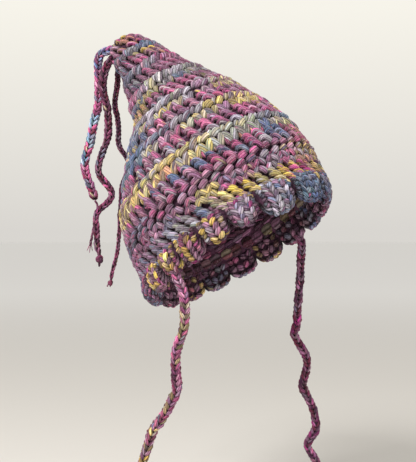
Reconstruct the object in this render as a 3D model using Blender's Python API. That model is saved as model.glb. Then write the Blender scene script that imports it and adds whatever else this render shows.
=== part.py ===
"""Pixie hood: a crocheted cone with a leaning peak, a shell-stitch edge round
the face and nape, two ties under the ears and three crocheted strings that
hang from the peak.

Frame: +Z up, the wearer looks along -Y, the wearer's right side is -X.
The origin is the middle of the head opening, in the plane of the crown's
lower edge.  All driving sizes below are in millimetres.
"""
import math

import bmesh
import bpy
from mathutils import Vector

MM = 0.001
GAP = 0.35                 # clearance kept between touching pieces

# ---------------------------------------------------------------- crown ----
LEAN_BACK_DEG = 33.0       # the crown's axis leans back by this much
CROWN_WALL = 9.0           # thickness of the bulky crochet
CROWN_AROUND = 48          # facets round the crown
CROWN_ROWS = 19            # rings between the edge and the closed tip
INNER_TOP = 236.0          # where the hollow ends below the solid tip

# Outer sections square to the axis, from the lower edge to the tip.
#   along       distance from the edge plane along the axis
#   back        offset of the section's centre towards the nape
#   half_width  half size from ear to ear
#   half_depth  half size from forehead to nape
CROWN_SECTIONS = (
    # along  back  half_width  half_depth
    (0.0,    2.0,  103.0, 118.0),
    (25.0,   0.5,  105.0, 120.0),
    (50.0,  -0.5,  102.5, 116.5),
    (75.0,  -3.0,   96.0, 109.0),
    (95.0,  -6.0,   87.0,  99.0),
    (115.0, -8.5,   77.0,  87.5),
    (135.0, -12.0,  65.0,  74.5),
    (150.0, -15.0,  56.0,  63.5),
    (165.0, -14.5,  48.0,  54.0),
    (185.0, -10.0,  41.0,  46.0),
    (205.0, -6.0,   34.0,  37.5),
    (225.0, -3.0,   28.5,  31.0),
    (241.0,  1.5,   25.0,  27.0),
    (253.0,  4.5,   22.5,  23.5),
    (260.0,  6.0,   18.0,  19.0),
    (264.5,  7.0,   11.0,  12.0),
)
CROWN_TIP = 266.5          # the apex, along the axis

# ------------------------------------------------------- scalloped edge ----
EDGE_BAND_HEIGHT = 20.0    # height of the edging between two scallops
EDGE_BAND_THICK = 10.0     # its thickness there
STEPS_PER_SCALLOP = 7
SECTION_POINTS = 10

# One row for each scallop, going round from the forehead over the wearer's
# right ear.
#   angle   place round the edge: 0 forehead, 90 right ear, 180 nape
#   drop    how far the scallop reaches below the edge plane
#   thick   how far it puffs up
#   flare   how far its middle stands out from the crown's wall
SCALLOPS = (
    # angle   drop  thick  flare
    (14.0,    36.0,  18.0,  -3.0),
    (41.0,    38.0,  19.0,   0.0),
    (60.0,    32.0,  19.0,   1.0),
    (77.0,    33.0,  19.0,   2.0),
    (93.0,    36.0,  19.0,   2.0),
    (108.5,   32.0,  18.0,   0.0),
    (124.5,   34.0,  18.0,   0.0),
    (145.0,   31.0,  18.0,   4.0),
    (166.0,   27.0,  18.0,   5.0),
    (187.0,   29.0,  18.0,   6.0),
    (205.5,   29.0,  18.0,   6.0),
    (224.0,   29.0,  18.0,   5.0),
    (242.5,   29.0,  17.0,   4.0),
    (261.0,   30.0,  17.0,   3.0),
    (279.5,   30.0,  17.0,   1.0),
    (298.0,   31.0,  17.0,  -1.0),
    (316.0,   31.0,  17.0,  -7.0),
    (333.0,   30.0,  17.0,  -7.0),
    (351.0,   31.0,  17.0,  -4.5),
)

# ------------------------------------------------------ ties and strings ---
# Every cord hangs in its own upright plane, which faces the same way as the
# others.  ACROSS is that plane's level direction, towards the forehead side.
ACROSS = Vector((0.5, -0.8660254, 0.0))
AWAY = Vector((0.8660254, 0.5, 0.0))

TIE_DIAMETER = 9.0
TIE_RIGHT_TOP = (-100.0, 8.0, -41.0)
TIE_LEFT_TOP = (96.0, -38.0, 2.0)
TIE_KNOT = (15.0, 12.0, 14.0)

# Routes.  drop is the fall below the top, swing the way across (towards the
# forehead side), away the way square to that.
TIE_RIGHT_ROUTE = (
    # drop  swing  away
    (14.0,    -3.5,   9.0),
    (21.0,     0.5,   6.5),
    (32.0,     3.5,   2.0),
    (56.0,      4.0,  -4.0),
    (68.0,      1.5,  -3.0),
    (80.0,     -3.0,  -2.0),
    (90.0,     -5.0,  -2.0),
    (103.0,    -5.0,  -3.0),
    (125.0,    -4.0,  -5.0),
    (134.0,    -8.0,  -5.0),
    (146.0,   -14.0,  -4.0),
    (158.0,   -22.0,  -3.0),
    (167.0,   -28.5,  -2.0),
    (182.0,   -33.5,  -2.0),
    (193.0,   -37.0,  -3.0),
    (208.0,   -41.0,  -5.0),
    (224.0,   -42.5,  -6.0),
    (240.0,   -46.0,  -5.0),
)
TIE_LEFT_ROUTE = (
    # drop  swing  away
    (21.0,  -1.0,   1.0),
    (38.0,  -2.0,   4.0),
    (63.0,  -3.0,   5.0),
    (86.0,  -5.0,   5.0),
    (102.0, -6.0,   4.0),
    (115.0, -7.0,   3.0),
    (125.0, -10.0,  2.0),
    (138.0, -3.5,   2.0),
    (150.0,  3.5,   2.0),
    (163.0,  5.0,   3.0),
    (181.0,  0.5,   4.0),
    (187.0,  0.0,   4.0),
    (200.0,  6.5,   3.0),
    (212.0, 12.0,   3.0),
    (226.0, 15.0,   3.0),
    (237.0, 15.0,   4.0),
    (249.0,  8.0,   5.0),
    (257.0,  6.0,   5.0),
    (272.0, 15.0,   3.0),
    (286.0, 18.0,   2.0),
)

STRING_A_DIAMETER = 8.0
STRING_A_TOP = (8.0, 163.0, 216.0)
STRING_A_ROUTE = (
    # drop  swing  away
    (9.7,     -13.9,  -8.0),
    (12.2,    -18.3,  -5.0),
    (17.0,    -20.8,  -2.0),
    (23.8,    -21.7,   0.0),
    (32.0,    -21.7,   0.5),
    (41.5,    -21.0,   1.0),
    (53.0,    -21.0,   2.0),
    (65.0,    -21.4,   2.0),
    (74.5,    -22.3,   1.0),
    (83.0,    -24.3,   0.0),
    (91.0,    -26.4,   0.0),
    (100.5,   -28.2,   0.0),
    (110.0,   -30.0,   1.0),
    (118.0,   -31.7,   2.0),
    (126.5,   -34.7,   2.0),
    (135.0,   -37.0,   2.0),
    (143.0,   -37.6,   1.0),
    (152.5,   -36.0,   1.0),
    (160.5,   -33.0,   0.0),
    (169.0,   -30.0,   0.0),
    (177.0,   -27.0,   0.0),
    (181.5,   -25.3,   0.0),
)
TAIL_DIAMETER = 3.4        # the loose yarn end below string A
TAIL_ROUTE = (
    # drop  swing  away
    (185.5,   -24.3,   0.0),
    (190.0,   -22.5,   1.0),
    (197.5,   -22.9,   1.0),
    (206.5,   -25.3,   2.0),
    (217.5,   -27.6,   2.0),
    (228.0,   -29.4,   1.0),
    (238.0,   -31.2,   1.0),
)

STRING_B_DIAMETER = 7.6   # at the peak; it thins downwards
STRING_B_TAPER = 0.7       # its lower end, as a share of its diameter
STRING_B_TOP = (-12.0, 160.5, 205.0)
STRING_B_ROUTE = (
    # drop  swing  away
    (14.4,     -1.0,   1.0),
    (20.5,     -3.2,   0.0),
    (28.5,     -5.4,  -1.0),
    (38.0,     -6.5,  -2.0),
    (47.0,     -5.7,  -2.0),
    (56.5,     -3.4,  -1.0),
    (65.5,     -1.3,   0.0),
    (77.0,     -0.2,   0.0),
    (89.0,      0.0,   0.0),
    (99.5,     -0.9,   0.0),
    (108.5,    -3.4,  -1.0),
    (118.0,    -6.9,  -2.0),
    (126.5,    -9.8,  -2.0),
    (134.5,   -11.5,  -2.0),
    (142.0,   -10.8,  -2.0),
    (149.0,    -6.8,  -2.0),
    (155.5,    -1.0,  -1.0),
    (162.0,     3.0,   0.0),
    (168.0,     3.8,   0.0),
    (174.0,     0.6,   0.0),
    (179.0,    -4.5,   0.0),
    (184.0,   -10.3,   0.0),
    (190.0,   -13.8,   0.0),
    (197.0,   -14.6,  -1.0),
    (206.0,   -13.6,  -1.0),
    (217.0,   -13.3,  -1.0),
    (227.5,   -12.9,   0.0),
    (235.5,   -10.9,   0.0),
)
STRING_KNOT_B = (10.0, 9.0, 11.0)

STRING_C_DIAMETER = 5.8    # at the peak; it thins downwards
STRING_C_TOP = (18.0, 158.0, 205.0)
STRING_C_ROUTE = (
    # drop  swing  away
    (2.0,       0.0,   2.0),
    (8.0,      -6.0,   9.0),
    (18.0,     -8.8,  13.0),
    (27.5,     -9.6,  15.0),
    (39.0,    -10.9,  17.0),
    (51.0,    -13.0,  17.0),
    (61.0,    -12.8,  17.0),
    (69.5,    -10.7,  17.0),
    (79.0,     -9.2,  17.0),
    (90.0,     -8.7,  17.0),
    (101.0,    -8.9,  17.0),
    (110.0,    -6.5,  17.0),
    (118.5,    -0.4,  17.0),
    (127.0,     3.8,  17.0),
    (137.0,     3.0,  17.0),
    (146.5,    -1.6,  17.0),
    (156.0,    -4.9,  17.0),
    (167.0,    -5.6,  17.0),
    (180.0,    -6.5,  17.0),
    (192.0,    -7.3,  17.0),
    (205.0,    -7.5,  17.0),
    (217.5,    -8.5,  17.0),
    (230.5,    -9.7,  16.0),
    (242.5,   -11.9,  15.0),
    (252.0,   -14.5,  15.0),
    (260.5,   -16.7,  15.0),
    (266.5,   -17.4,  15.0),
)
STRING_C_TAPER = 0.62      # its lower end, as a share of its diameter
STRING_KNOT_C = (7.0, 7.0, 8.0)

# ---------------------------------------------------------- colours --------
CROWN_COLOUR = (0.33, 0.19, 0.28, 1.0)
EDGE_COLOUR = (0.36, 0.27, 0.33, 1.0)
TIE_COLOUR = (0.33, 0.12, 0.24, 1.0)
STRING_COLOUR = (0.25, 0.11, 0.24, 1.0)


# ------------------------------------------------------------ helpers ------
LEAN = math.radians(LEAN_BACK_DEG)
SIDE_AXIS = Vector((1.0, 0.0, 0.0))
CROWN_AXIS = Vector((0.0, math.sin(LEAN), math.cos(LEAN)))
BACK_AXIS = Vector((0.0, math.cos(LEAN), -math.sin(LEAN)))


def smooth_table(rows, position):
    """Read a table at a position in its first column, with smooth slopes."""
    last = len(rows) - 1
    i = 0
    while i < last - 1 and position > rows[i + 1][0]:
        i += 1
    x0, x1 = rows[i][0], rows[i + 1][0]
    t = min(max((position - x0) / (x1 - x0), 0.0), 1.0)
    out = []
    for column in range(1, len(rows[0])):
        def slope(k):
            if k <= 0:
                a, b = 0, 1
            elif k >= last:
                a, b = last - 1, last
            else:
                a, b = k - 1, k + 1
            return (rows[b][column] - rows[a][column]) / (rows[b][0] - rows[a][0])
        y0, y1 = rows[i][column], rows[i + 1][column]
        m0, m1 = slope(i) * (x1 - x0), slope(i + 1) * (x1 - x0)
        out.append(y0 * (2 * t**3 - 3 * t**2 + 1) + m0 * (t**3 - 2 * t**2 + t)
                   + y1 * (3 * t**2 - 2 * t**3) + m1 * (t**3 - t**2))
    return out


def crown_point(along, back, side):
    return CROWN_AXIS * along + BACK_AXIS * back + SIDE_AXIS * side


def crown_ring(along, inset=0.0):
    back, half_width, half_depth = smooth_table(CROWN_SECTIONS, along)
    ring = []
    for k in range(CROWN_AROUND):
        a = 2.0 * math.pi * k / CROWN_AROUND
        ring.append(crown_point(along,
                                back - (half_depth - inset) * math.cos(a),
                                -(half_width - inset) * math.sin(a)))
    return ring


def loft(name, rings, first_tip=None, last_tip=None, closed_round=False):
    """Join rings of equal count into one closed body."""
    bm = bmesh.new()
    loops = [[bm.verts.new(p * MM) for p in ring] for ring in rings]
    n = len(loops[0])
    pairs = list(zip(loops, loops[1:]))
    if closed_round:
        pairs.append((loops[-1], loops[0]))
    for low, high in pairs:
        for k in range(n):
            m = (k + 1) % n
            bm.faces.new((low[k], low[m], high[m], high[k]))
    for tip, loop in ((first_tip, loops[0]), (last_tip, loops[-1])):
        if tip is not None:
            apex = bm.verts.new(tip * MM)
            for k in range(n):
                bm.faces.new((loop[k], loop[(k + 1) % n], apex))
    bmesh.ops.recalc_face_normals(bm, faces=bm.faces)
    mesh = bpy.data.meshes.new(name)
    bm.to_mesh(mesh)
    bm.free()
    mesh.shade_smooth()
    return bpy.data.objects.new(name, mesh)


def material(name, colour, roughness=0.95):
    mat = bpy.data.materials.new(name)
    mat.use_nodes = True
    shader = mat.node_tree.nodes["Principled BSDF"]
    shader.inputs["Base Color"].default_value = colour
    shader.inputs["Roughness"].default_value = roughness
    shader.inputs["Metallic"].default_value = 0.0
    return mat


def finish(obj, mat, collection, parent=None):
    obj.data.materials.append(mat)
    collection.objects.link(obj)
    if parent is not None:
        obj.parent = parent
    return obj


# --------------------------------------------------------- the pieces ------
def make_crown():
    """Hollow leaning cone: outer wall up to the tip, inner wall back down."""
    top = CROWN_SECTIONS[-1][0]
    outer = [top * i / (CROWN_ROWS - 1) for i in range(CROWN_ROWS)]
    inner_top = INNER_TOP - CROWN_WALL
    inner = [inner_top * i / (CROWN_ROWS - 4) for i in range(CROWN_ROWS - 3)]
    rings = [crown_ring(s) for s in reversed(outer)]
    rings += [crown_ring(s, CROWN_WALL) for s in inner]
    tip_back = CROWN_SECTIONS[-1][1]
    hollow_back = smooth_table(CROWN_SECTIONS, INNER_TOP)[0]
    return loft("crown_shell", rings,
                first_tip=crown_point(CROWN_TIP, tip_back, 0.0),
                last_tip=crown_point(INNER_TOP, hollow_back, 0.0))


def scallop_profile(angle):
    """Drop, thickness and flare of the edging at an angle round the edge."""
    n = len(SCALLOPS)
    for i in range(n):
        here, after = SCALLOPS[i], SCALLOPS[(i + 1) % n]
        a0 = here[0]
        a1 = after[0] + (360.0 if i == n - 1 else 0.0)
        test = angle + (360.0 if angle < SCALLOPS[0][0] else 0.0)
        if a0 <= test <= a1:
            t = (test - a0) / (a1 - a0)
            near = here if t < 0.5 else after
            puff = math.sqrt(max(0.0, 1.0 - (min(t, 1.0 - t) * 2.0) ** 2.4))
            drop = EDGE_BAND_HEIGHT + (near[1] - EDGE_BAND_HEIGHT) * puff
            thick = EDGE_BAND_THICK + (near[2] - EDGE_BAND_THICK) * puff
            flare = here[3] + (after[3] - here[3]) * t
            return drop, thick, flare
    return EDGE_BAND_HEIGHT, EDGE_BAND_THICK, 0.0


def make_edge():
    """One worked round of puffed scallops, closed on itself."""
    along, back, half_width, half_depth = CROWN_SECTIONS[0]
    n = len(SCALLOPS)
    rings = []
    for i in range(n):
        a0 = SCALLOPS[i][0]
        a1 = SCALLOPS[(i + 1) % n][0] + (360.0 if i == n - 1 else 0.0)
        for step in range(STEPS_PER_SCALLOP):
            angle = a0 + (a1 - a0) * step / STEPS_PER_SCALLOP
            drop, thick, flare = scallop_profile(angle % 360.0)
            a = math.radians(angle)
            outwards = (BACK_AXIS * -math.cos(a) - SIDE_AXIS * math.sin(a))
            base = crown_point(
                0.0,
                back - (half_depth - CROWN_WALL / 2) * math.cos(a),
                -(half_width - CROWN_WALL / 2) * math.sin(a))
            ring = []
            for k in range(SECTION_POINTS):
                b = 2.0 * math.pi * (k + 0.5) / SECTION_POINTS
                down = 0.5 - 0.5 * math.cos(b)          # 0 at the top
                level = GAP + (drop - GAP) * down
                lean = flare * math.sin(down * math.pi / 2)
                out = lean + 0.5 * thick * math.sin(b)
                ring.append(base - CROWN_AXIS * level + outwards * out)
            rings.append(ring)
    return loft("scallop_edge", rings, closed_round=True)


def cord_points(top, route, spacing):
    """Points evenly spaced along one smooth curve through a route's rows."""
    start = Vector(top)
    knots = [start - Vector((0, 0, drop)) + ACROSS * swing + AWAY * away
             for drop, swing, away in route]
    fine = []
    for i in range(len(knots) - 1):
        p0 = knots[max(i - 1, 0)]
        p1, p2 = knots[i], knots[i + 1]
        p3 = knots[min(i + 2, len(knots) - 1)]
        for step in range(12):
            t = step / 12.0
            fine.append(0.5 * ((2 * p1) + (p2 - p0) * t
                               + (2 * p0 - 5 * p1 + 4 * p2 - p3) * t * t
                               + (3 * p1 - p0 - 3 * p2 + p3) * t ** 3))
    fine.append(knots[-1])
    lengths = [0.0]
    for a, b in zip(fine, fine[1:]):
        lengths.append(lengths[-1] + (b - a).length)
    count = max(4, round(lengths[-1] / spacing))
    points, j = [], 0
    for i in range(count + 1):
        want = lengths[-1] * i / count
        while j < len(lengths) - 2 and lengths[j + 1] < want:
            j += 1
        span = max(lengths[j + 1] - lengths[j], 1e-9)
        points.append(fine[j].lerp(fine[j + 1], (want - lengths[j]) / span))
    return points


def make_cord(name, top, route, diameter, end_share=1.0):
    points = cord_points(top, route, diameter * 1.6)
    curve = bpy.data.curves.new(name, "CURVE")
    curve.dimensions = "3D"
    curve.bevel_depth = diameter / 2 * MM
    curve.bevel_resolution = 2
    curve.render_resolution_u = 0
    curve.use_fill_caps = True
    spline = curve.splines.new("POLY")
    spline.points.add(len(points) - 1)
    for i, p in enumerate(points):
        spline.points[i].co = (p.x * MM, p.y * MM, p.z * MM, 1.0)
        spline.points[i].radius = 1.0 + (end_share - 1.0) * i / (len(points) - 1)
    return bpy.data.objects.new(name, curve), points


def make_knot(name, points, size, diameter):
    """A round knot under the last point of a cord, a small gap below it."""
    end, before = points[-1], points[-3]
    way = (end - before).normalized()
    bm = bmesh.new()
    bmesh.ops.create_uvsphere(bm, u_segments=12, v_segments=8, radius=0.5)
    centre = end + way * (size[2] / 2 + GAP + 0.4)
    turn = Vector((0, 0, 1)).rotation_difference(-way).to_matrix()
    for v in bm.verts:
        local = Vector((v.co.x * size[0], v.co.y * size[1], v.co.z * size[2]))
        v.co = (centre + turn @ local) * MM
    mesh = bpy.data.meshes.new(name)
    bm.to_mesh(mesh)
    bm.free()
    mesh.shade_smooth()
    return bpy.data.objects.new(name, mesh)


def main():
    for obj in list(bpy.data.objects):
        bpy.data.objects.remove(obj, do_unlink=True)

    hood = bpy.data.collections.new("pixie_hood")
    bpy.context.scene.collection.children.link(hood)
    mount = bpy.data.objects.new("head_seat", None)
    hood.objects.link(mount)

    wool = material("crown_wool", CROWN_COLOUR)
    edging = material("edge_wool", EDGE_COLOUR)
    tie_wool = material("tie_wool", TIE_COLOUR)
    string_wool = material("string_wool", STRING_COLOUR)

    finish(make_crown(), wool, hood, mount)
    finish(make_edge(), edging, hood, mount)

    for name, top, route in (("tie_right", TIE_RIGHT_TOP, TIE_RIGHT_ROUTE),
                             ("tie_left", TIE_LEFT_TOP, TIE_LEFT_ROUTE)):
        cord, points = make_cord(name, top, route, TIE_DIAMETER)
        finish(cord, tie_wool, hood, mount)
        finish(make_knot(name + "_knot", points, TIE_KNOT, TIE_DIAMETER),
               tie_wool, hood, mount)

    cord, points = make_cord("peak_string_a", STRING_A_TOP, STRING_A_ROUTE,
                             STRING_A_DIAMETER)
    finish(cord, string_wool, hood, mount)
    tail, points = make_cord("peak_string_a_tail", STRING_A_TOP, TAIL_ROUTE,
                             TAIL_DIAMETER)
    finish(tail, string_wool, hood, mount)

    cord, points = make_cord("peak_string_b", STRING_B_TOP, STRING_B_ROUTE,
                             STRING_B_DIAMETER, STRING_B_TAPER)
    finish(cord, string_wool, hood, mount)
    finish(make_knot("peak_string_b_knot", points, STRING_KNOT_B,
                     STRING_B_DIAMETER), string_wool, hood, mount)

    cord, points = make_cord("peak_string_c", STRING_C_TOP, STRING_C_ROUTE,
                             STRING_C_DIAMETER, STRING_C_TAPER)
    finish(cord, string_wool, hood, mount)
    finish(make_knot("peak_string_c_knot", points, STRING_KNOT_C,
                     STRING_C_DIAMETER), string_wool, hood, mount)


main()
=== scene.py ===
"""Looks of the pixie hood: every visible stitch is modelled as three-ply yarn.

All lengths here are millimetres until a mesh is written, which is in metres.
Crown places are given by `along` (distance from the lower edge along the
crown's axis) and `phi` (degrees: 0 forehead, 90 wearer's right ear, 180 nape).
"""
import math

import bpy
import numpy as np
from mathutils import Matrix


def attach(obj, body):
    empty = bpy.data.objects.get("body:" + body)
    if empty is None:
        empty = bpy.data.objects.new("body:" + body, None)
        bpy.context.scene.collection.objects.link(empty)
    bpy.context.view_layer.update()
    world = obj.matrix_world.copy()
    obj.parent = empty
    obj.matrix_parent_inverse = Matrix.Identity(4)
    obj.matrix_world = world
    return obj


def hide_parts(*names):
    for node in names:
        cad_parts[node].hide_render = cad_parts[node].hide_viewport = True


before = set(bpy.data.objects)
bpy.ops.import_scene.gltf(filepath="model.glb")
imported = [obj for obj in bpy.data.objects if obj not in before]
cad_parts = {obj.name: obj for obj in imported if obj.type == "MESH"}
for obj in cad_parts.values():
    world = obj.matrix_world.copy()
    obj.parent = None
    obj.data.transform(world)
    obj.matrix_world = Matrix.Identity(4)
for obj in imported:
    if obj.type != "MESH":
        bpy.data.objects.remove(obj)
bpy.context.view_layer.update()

MM = 0.001
RNG = np.random.default_rng(20417)

# ------------------------------------------------------------------ camera --
ACROSS = np.array([0.5, -0.8660254, 0.0])     # right in the picture
AWAY = np.array([0.8660254, 0.5, 0.0])        # into the picture
UP = np.array([0.0, 0.0, 1.0])


def make_camera():
    place = -AWAY * 1200.0 - ACROSS * (26.4 * 1.1) - UP * (3.5 * 1.1)
    cam = bpy.data.cameras.new("camera")
    cam.lens = 85.0
    cam.sensor_width = 36.0
    cam.sensor_fit = "AUTO"
    cam.clip_end = 100.0
    obj = bpy.data.objects.new("camera", cam)
    obj.location = place * MM
    obj.rotation_euler = (math.radians(90.0), 0.0, math.radians(-60.0))
    bpy.context.scene.collection.objects.link(obj)
    bpy.context.scene.camera = obj


make_camera()

# --------------------------------------------------------- crown's surface --
LEAN = math.radians(33.0)
EX = np.array([1.0, 0.0, 0.0])
EA = np.array([0.0, math.sin(LEAN), math.cos(LEAN)])
EB = np.array([0.0, math.cos(LEAN), -math.sin(LEAN)])

SECTIONS = np.array((
    # along  back  half_width  half_depth
    (0.0,    2.0,  103.0, 118.0),
    (25.0,   0.5,  105.0, 120.0),
    (50.0,  -0.5,  102.5, 116.5),
    (75.0,  -3.0,   96.0, 109.0),
    (95.0,  -6.0,   87.0,  99.0),
    (115.0, -8.5,   77.0,  87.5),
    (135.0, -12.0,  65.0,  74.5),
    (150.0, -15.0,  56.0,  63.5),
    (165.0, -14.5,  48.0,  54.0),
    (185.0, -10.0,  41.0,  46.0),
    (205.0, -6.0,   34.0,  37.5),
    (225.0, -3.0,   28.5,  31.0),
    (241.0,  1.5,   25.0,  27.0),
    (253.0,  4.5,   22.5,  23.5),
    (260.0,  6.0,   18.0,  19.0),
    (264.5,  7.0,   11.0,  12.0),
))
TIP = 266.5


def table_fine():
    """The section table read every half millimetre with smooth slopes."""
    rows, x = SECTIONS[:, 1:], SECTIONS[:, 0]
    slope = np.empty_like(rows)
    slope[1:-1] = (rows[2:] - rows[:-2]) / (x[2:] - x[:-2])[:, None]
    slope[0] = (rows[1] - rows[0]) / (x[1] - x[0])
    slope[-1] = (rows[-1] - rows[-2]) / (x[-1] - x[-2])
    s = np.arange(0.0, SECTIONS[-1, 0] + 0.01, 0.5)
    i = np.clip(np.searchsorted(x, s, "right") - 1, 0, len(x) - 2)
    h = (x[i + 1] - x[i])[:, None]
    t = ((s - x[i])[:, None]) / h
    got = (rows[i] * (2 * t**3 - 3 * t**2 + 1) + slope[i] * h * (t**3 - 2 * t**2 + t)
           + rows[i + 1] * (3 * t**2 - 2 * t**3) + slope[i + 1] * h * (t**3 - t**2))
    low = np.arange(-40.0, 0.0, 0.5)
    high = TIP - np.array([1.6, 1.2, 0.8, 0.4, 0.15, 0.0])
    shrink = np.sqrt(np.clip(1.0 - (high - SECTIONS[-1, 0]) / (TIP - SECTIONS[-1, 0]), 0.0, 1.0))
    s = np.concatenate([low, s, high])
    got = np.concatenate([np.repeat(got[:1], len(low), 0), got,
                          np.stack([np.full(6, SECTIONS[-1, 1]), SECTIONS[-1, 2] * shrink,
                                    SECTIONS[-1, 3] * shrink], 1)])
    return s, got


TS, TT = table_fine()
TDS = np.gradient(TT, TS, axis=0)
_r = (TT[:, 1] + TT[:, 2]) / 2
TL = np.concatenate([[0.0], np.cumsum(np.hypot(np.diff(TS), np.diff(_r)))])
TL -= np.interp(0.0, TS, TL)


def length_at(s):
    return np.interp(s, TS, TL)


def surf(s, phi):
    """Points and outward normals of the crown's outer surface."""
    a = np.radians(phi)
    b, hw, hd = (np.interp(s, TS, TT[:, k]) for k in range(3))
    db, dw, dd = (np.interp(s, TS, TDS[:, k]) for k in range(3))
    ca, sa = np.cos(a), np.sin(a)
    p = (s[..., None] * EA + (b - hd * ca)[..., None] * EB
         - (hw * sa)[..., None] * EX)
    ds = EA + (db - dd * ca)[..., None] * EB - (dw * sa)[..., None] * EX
    da = (hd * sa)[..., None] * EB - (hw * ca)[..., None] * EX
    n = np.cross(ds, da)
    n /= np.maximum(np.linalg.norm(n, axis=-1, keepdims=True), 1e-9)
    out = -ca[..., None] * EB - sa[..., None] * EX
    flip = np.where((n * out).sum(-1, keepdims=True) < 0, -1.0, 1.0)
    return p, n * flip


def crown_map(v, phi0, dphi, width, length0):
    """Bends stitch space (right, up, outwards) onto the crown."""
    phi = phi0 - v[:, 0] / width * dphi
    s = np.interp(length0 + v[:, 1], TL, TS)
    p, n = surf(s, phi)
    return p + n * v[:, 2:3]


# -------------------------------------------------------------------- dyes --
DYES = {
    "u": (148, 104, 134), "m": (180, 88, 130), "p": (180, 126, 152),
    "d": (84, 48, 74), "y": (204, 180, 112), "s": (178, 166, 128),
    "g": (152, 156, 140), "r": (144, 138, 146), "l": (172, 166, 180),
    "k": (116, 122, 144), "b": (86, 100, 136), "t": (92, 118, 136),
    "c": (196, 140, 116), "w": (188, 184, 190), "n": (108, 62, 72),
    "o": (144, 134, 94), "v": (128, 64, 98), "x": (100, 38, 60),
    "Y": (224, 192, 92), "M": (156, 50, 118),
}
TONE = 0.94


def dye(letters, own=0.60, stray=0.04, light=0.0, plies=3):
    """Colours of a strand's plies, drawn from a run's letters."""
    base = letters[RNG.integers(len(letters))]
    blend = np.mean([DYES[c] for c in letters], axis=0) / 255.0
    whole = math.exp(RNG.normal(0.0, 0.10))
    out = []
    for q in range(plies):
        c = base
        x = RNG.random()
        if x > own:
            c = letters[RNG.integers(len(letters))]
        if x > 1.0 - stray:
            c = "umklpsb"[RNG.integers(7)]
        rgb = 0.80 * np.array(DYES[c], float) / 255.0 + 0.20 * blend
        rgb = rgb * whole * math.exp(RNG.normal(0.0, 0.11)) + RNG.normal(0.0, 0.012, 3)
        x = RNG.random()
        if x < 0.18:                     # a darker thread
            rgb = rgb * 0.58 + 0.42 * np.array((0.25, 0.15, 0.24))
        elif x > 0.85:                   # a paler one
            rgb = rgb * 0.66 + 0.34 * np.array((0.80, 0.76, 0.80))
        out.append(np.clip((rgb + light) * TONE, 0.02, 0.96))
    return np.array(out)


def dyed(letters, k, plies, own=0.72, light=0.0):
    """Ply colours that change once or twice along a strand of k rings."""
    one = dye(letters, own, light=light, plies=plies)
    two = dye(letters, own, light=light, plies=plies)
    at = RNG.uniform(0.15, 0.95, plies)
    x = np.linspace(0.0, 1.0, k)[:, None]
    mix = np.clip((x - at) * 6.0 + 0.5, 0.0, 1.0)[..., None]
    return one[None] * (1.0 - mix) + two[None] * mix


def run_at(table, phi, ragged=4.0):
    """The letters of a run table at an angle, with ragged changes."""
    phi = (phi + RNG.normal(0.0, ragged) + 30.0) % 360.0 - 30.0
    for end, *letters in table:
        if phi < end:
            return letters
    return table[-1][1:]


# -------------------------------------------------------------------- yarn --
_shape = {}


def tube_shape(k, m, plies):
    """Faces and loop coordinates shared by every tube of k rings of m."""
    if (k, m, plies) in _shape:
        return _shape[k, m, plies]
    lag = m / (2.0 * plies)              # the first groove
    i, j = np.meshgrid(np.arange(k - 1), np.arange(m), indexing="ij")
    i, j = i.ravel(), j.ravel()
    j1 = (j + 1) % m
    quads = np.stack([i * m + j, i * m + j1, (i + 1) * m + j1, (i + 1) * m + j], 1)
    jj = np.arange(m)
    low = np.stack([(jj + 1) % m, jj, np.full(m, k * m)], 1)
    high = np.stack([(k - 1) * m + jj, (k - 1) * m + (jj + 1) % m,
                     np.full(m, k * m + 1)], 1)
    tris = np.concatenate([low, high])
    third = m / float(plies)
    u0 = (j - lag) / third
    u1 = (j + 1 - lag) / third
    qu = np.stack([u0, u1, u1, u0], 1)
    ring = np.stack([i, i, i + 1, i + 1], 1)
    cell = np.stack([np.stack([j, j + 1, j + 1, j], 1) / m,
                     (ring + 1.0) / (k + 1.0)], -1)
    tu = np.stack([(jj + 1 - lag) / third, (jj - lag) / third,
                   (jj + 0.5 - lag) / third], 1)
    tcell_low = np.stack([np.stack([jj + 1, jj, jj + 0.5], 1) / m,
                          np.tile([1.0, 1.0, 0.0], (m, 1)) / (k + 1.0)], -1)
    tcell_high = np.stack([np.stack([jj, jj + 1, jj + 0.5], 1) / m,
                           np.tile([k, k, k + 1.0], (m, 1)) / (k + 1.0)], -1)
    tuh = tu[:, [1, 0, 2]]
    ply_q = np.floor((j - lag) / third + 1e-6).astype(int) % plies
    ply_t = np.floor((jj - lag) / third + 1e-6).astype(int) % plies
    got = dict(
        quads=quads, tris=tris, ring_q=ring,
        ring_t=np.concatenate([np.zeros((m, 3), int), np.full((m, 3), k - 1)]),
        u_q=qu, u_t=np.concatenate([tu, tuh]),
        cell_q=cell, cell_t=np.concatenate([tcell_low, tcell_high]),
        ply_q=ply_q, ply_t=np.concatenate([ply_t, ply_t]),
    )
    _shape[k, m, plies] = got
    return got


def smooth_path(points, k):
    """k points along a smooth curve through the given ones."""
    p = np.asarray(points, float)
    p = np.concatenate([2 * p[:1] - p[1:2], p, 2 * p[-1:] - p[-2:-1]])
    t = np.linspace(0.0, len(p) - 3 - 1e-9, k)
    i = t.astype(int)
    t = (t - i)[:, None]
    a, b, c, d = p[i], p[i + 1], p[i + 2], p[i + 3]
    return 0.5 * (2 * b + (c - a) * t + (2 * a - 5 * b + 4 * c - d) * t**2
                  + (3 * b - a - 3 * c + d) * t**3)


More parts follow.
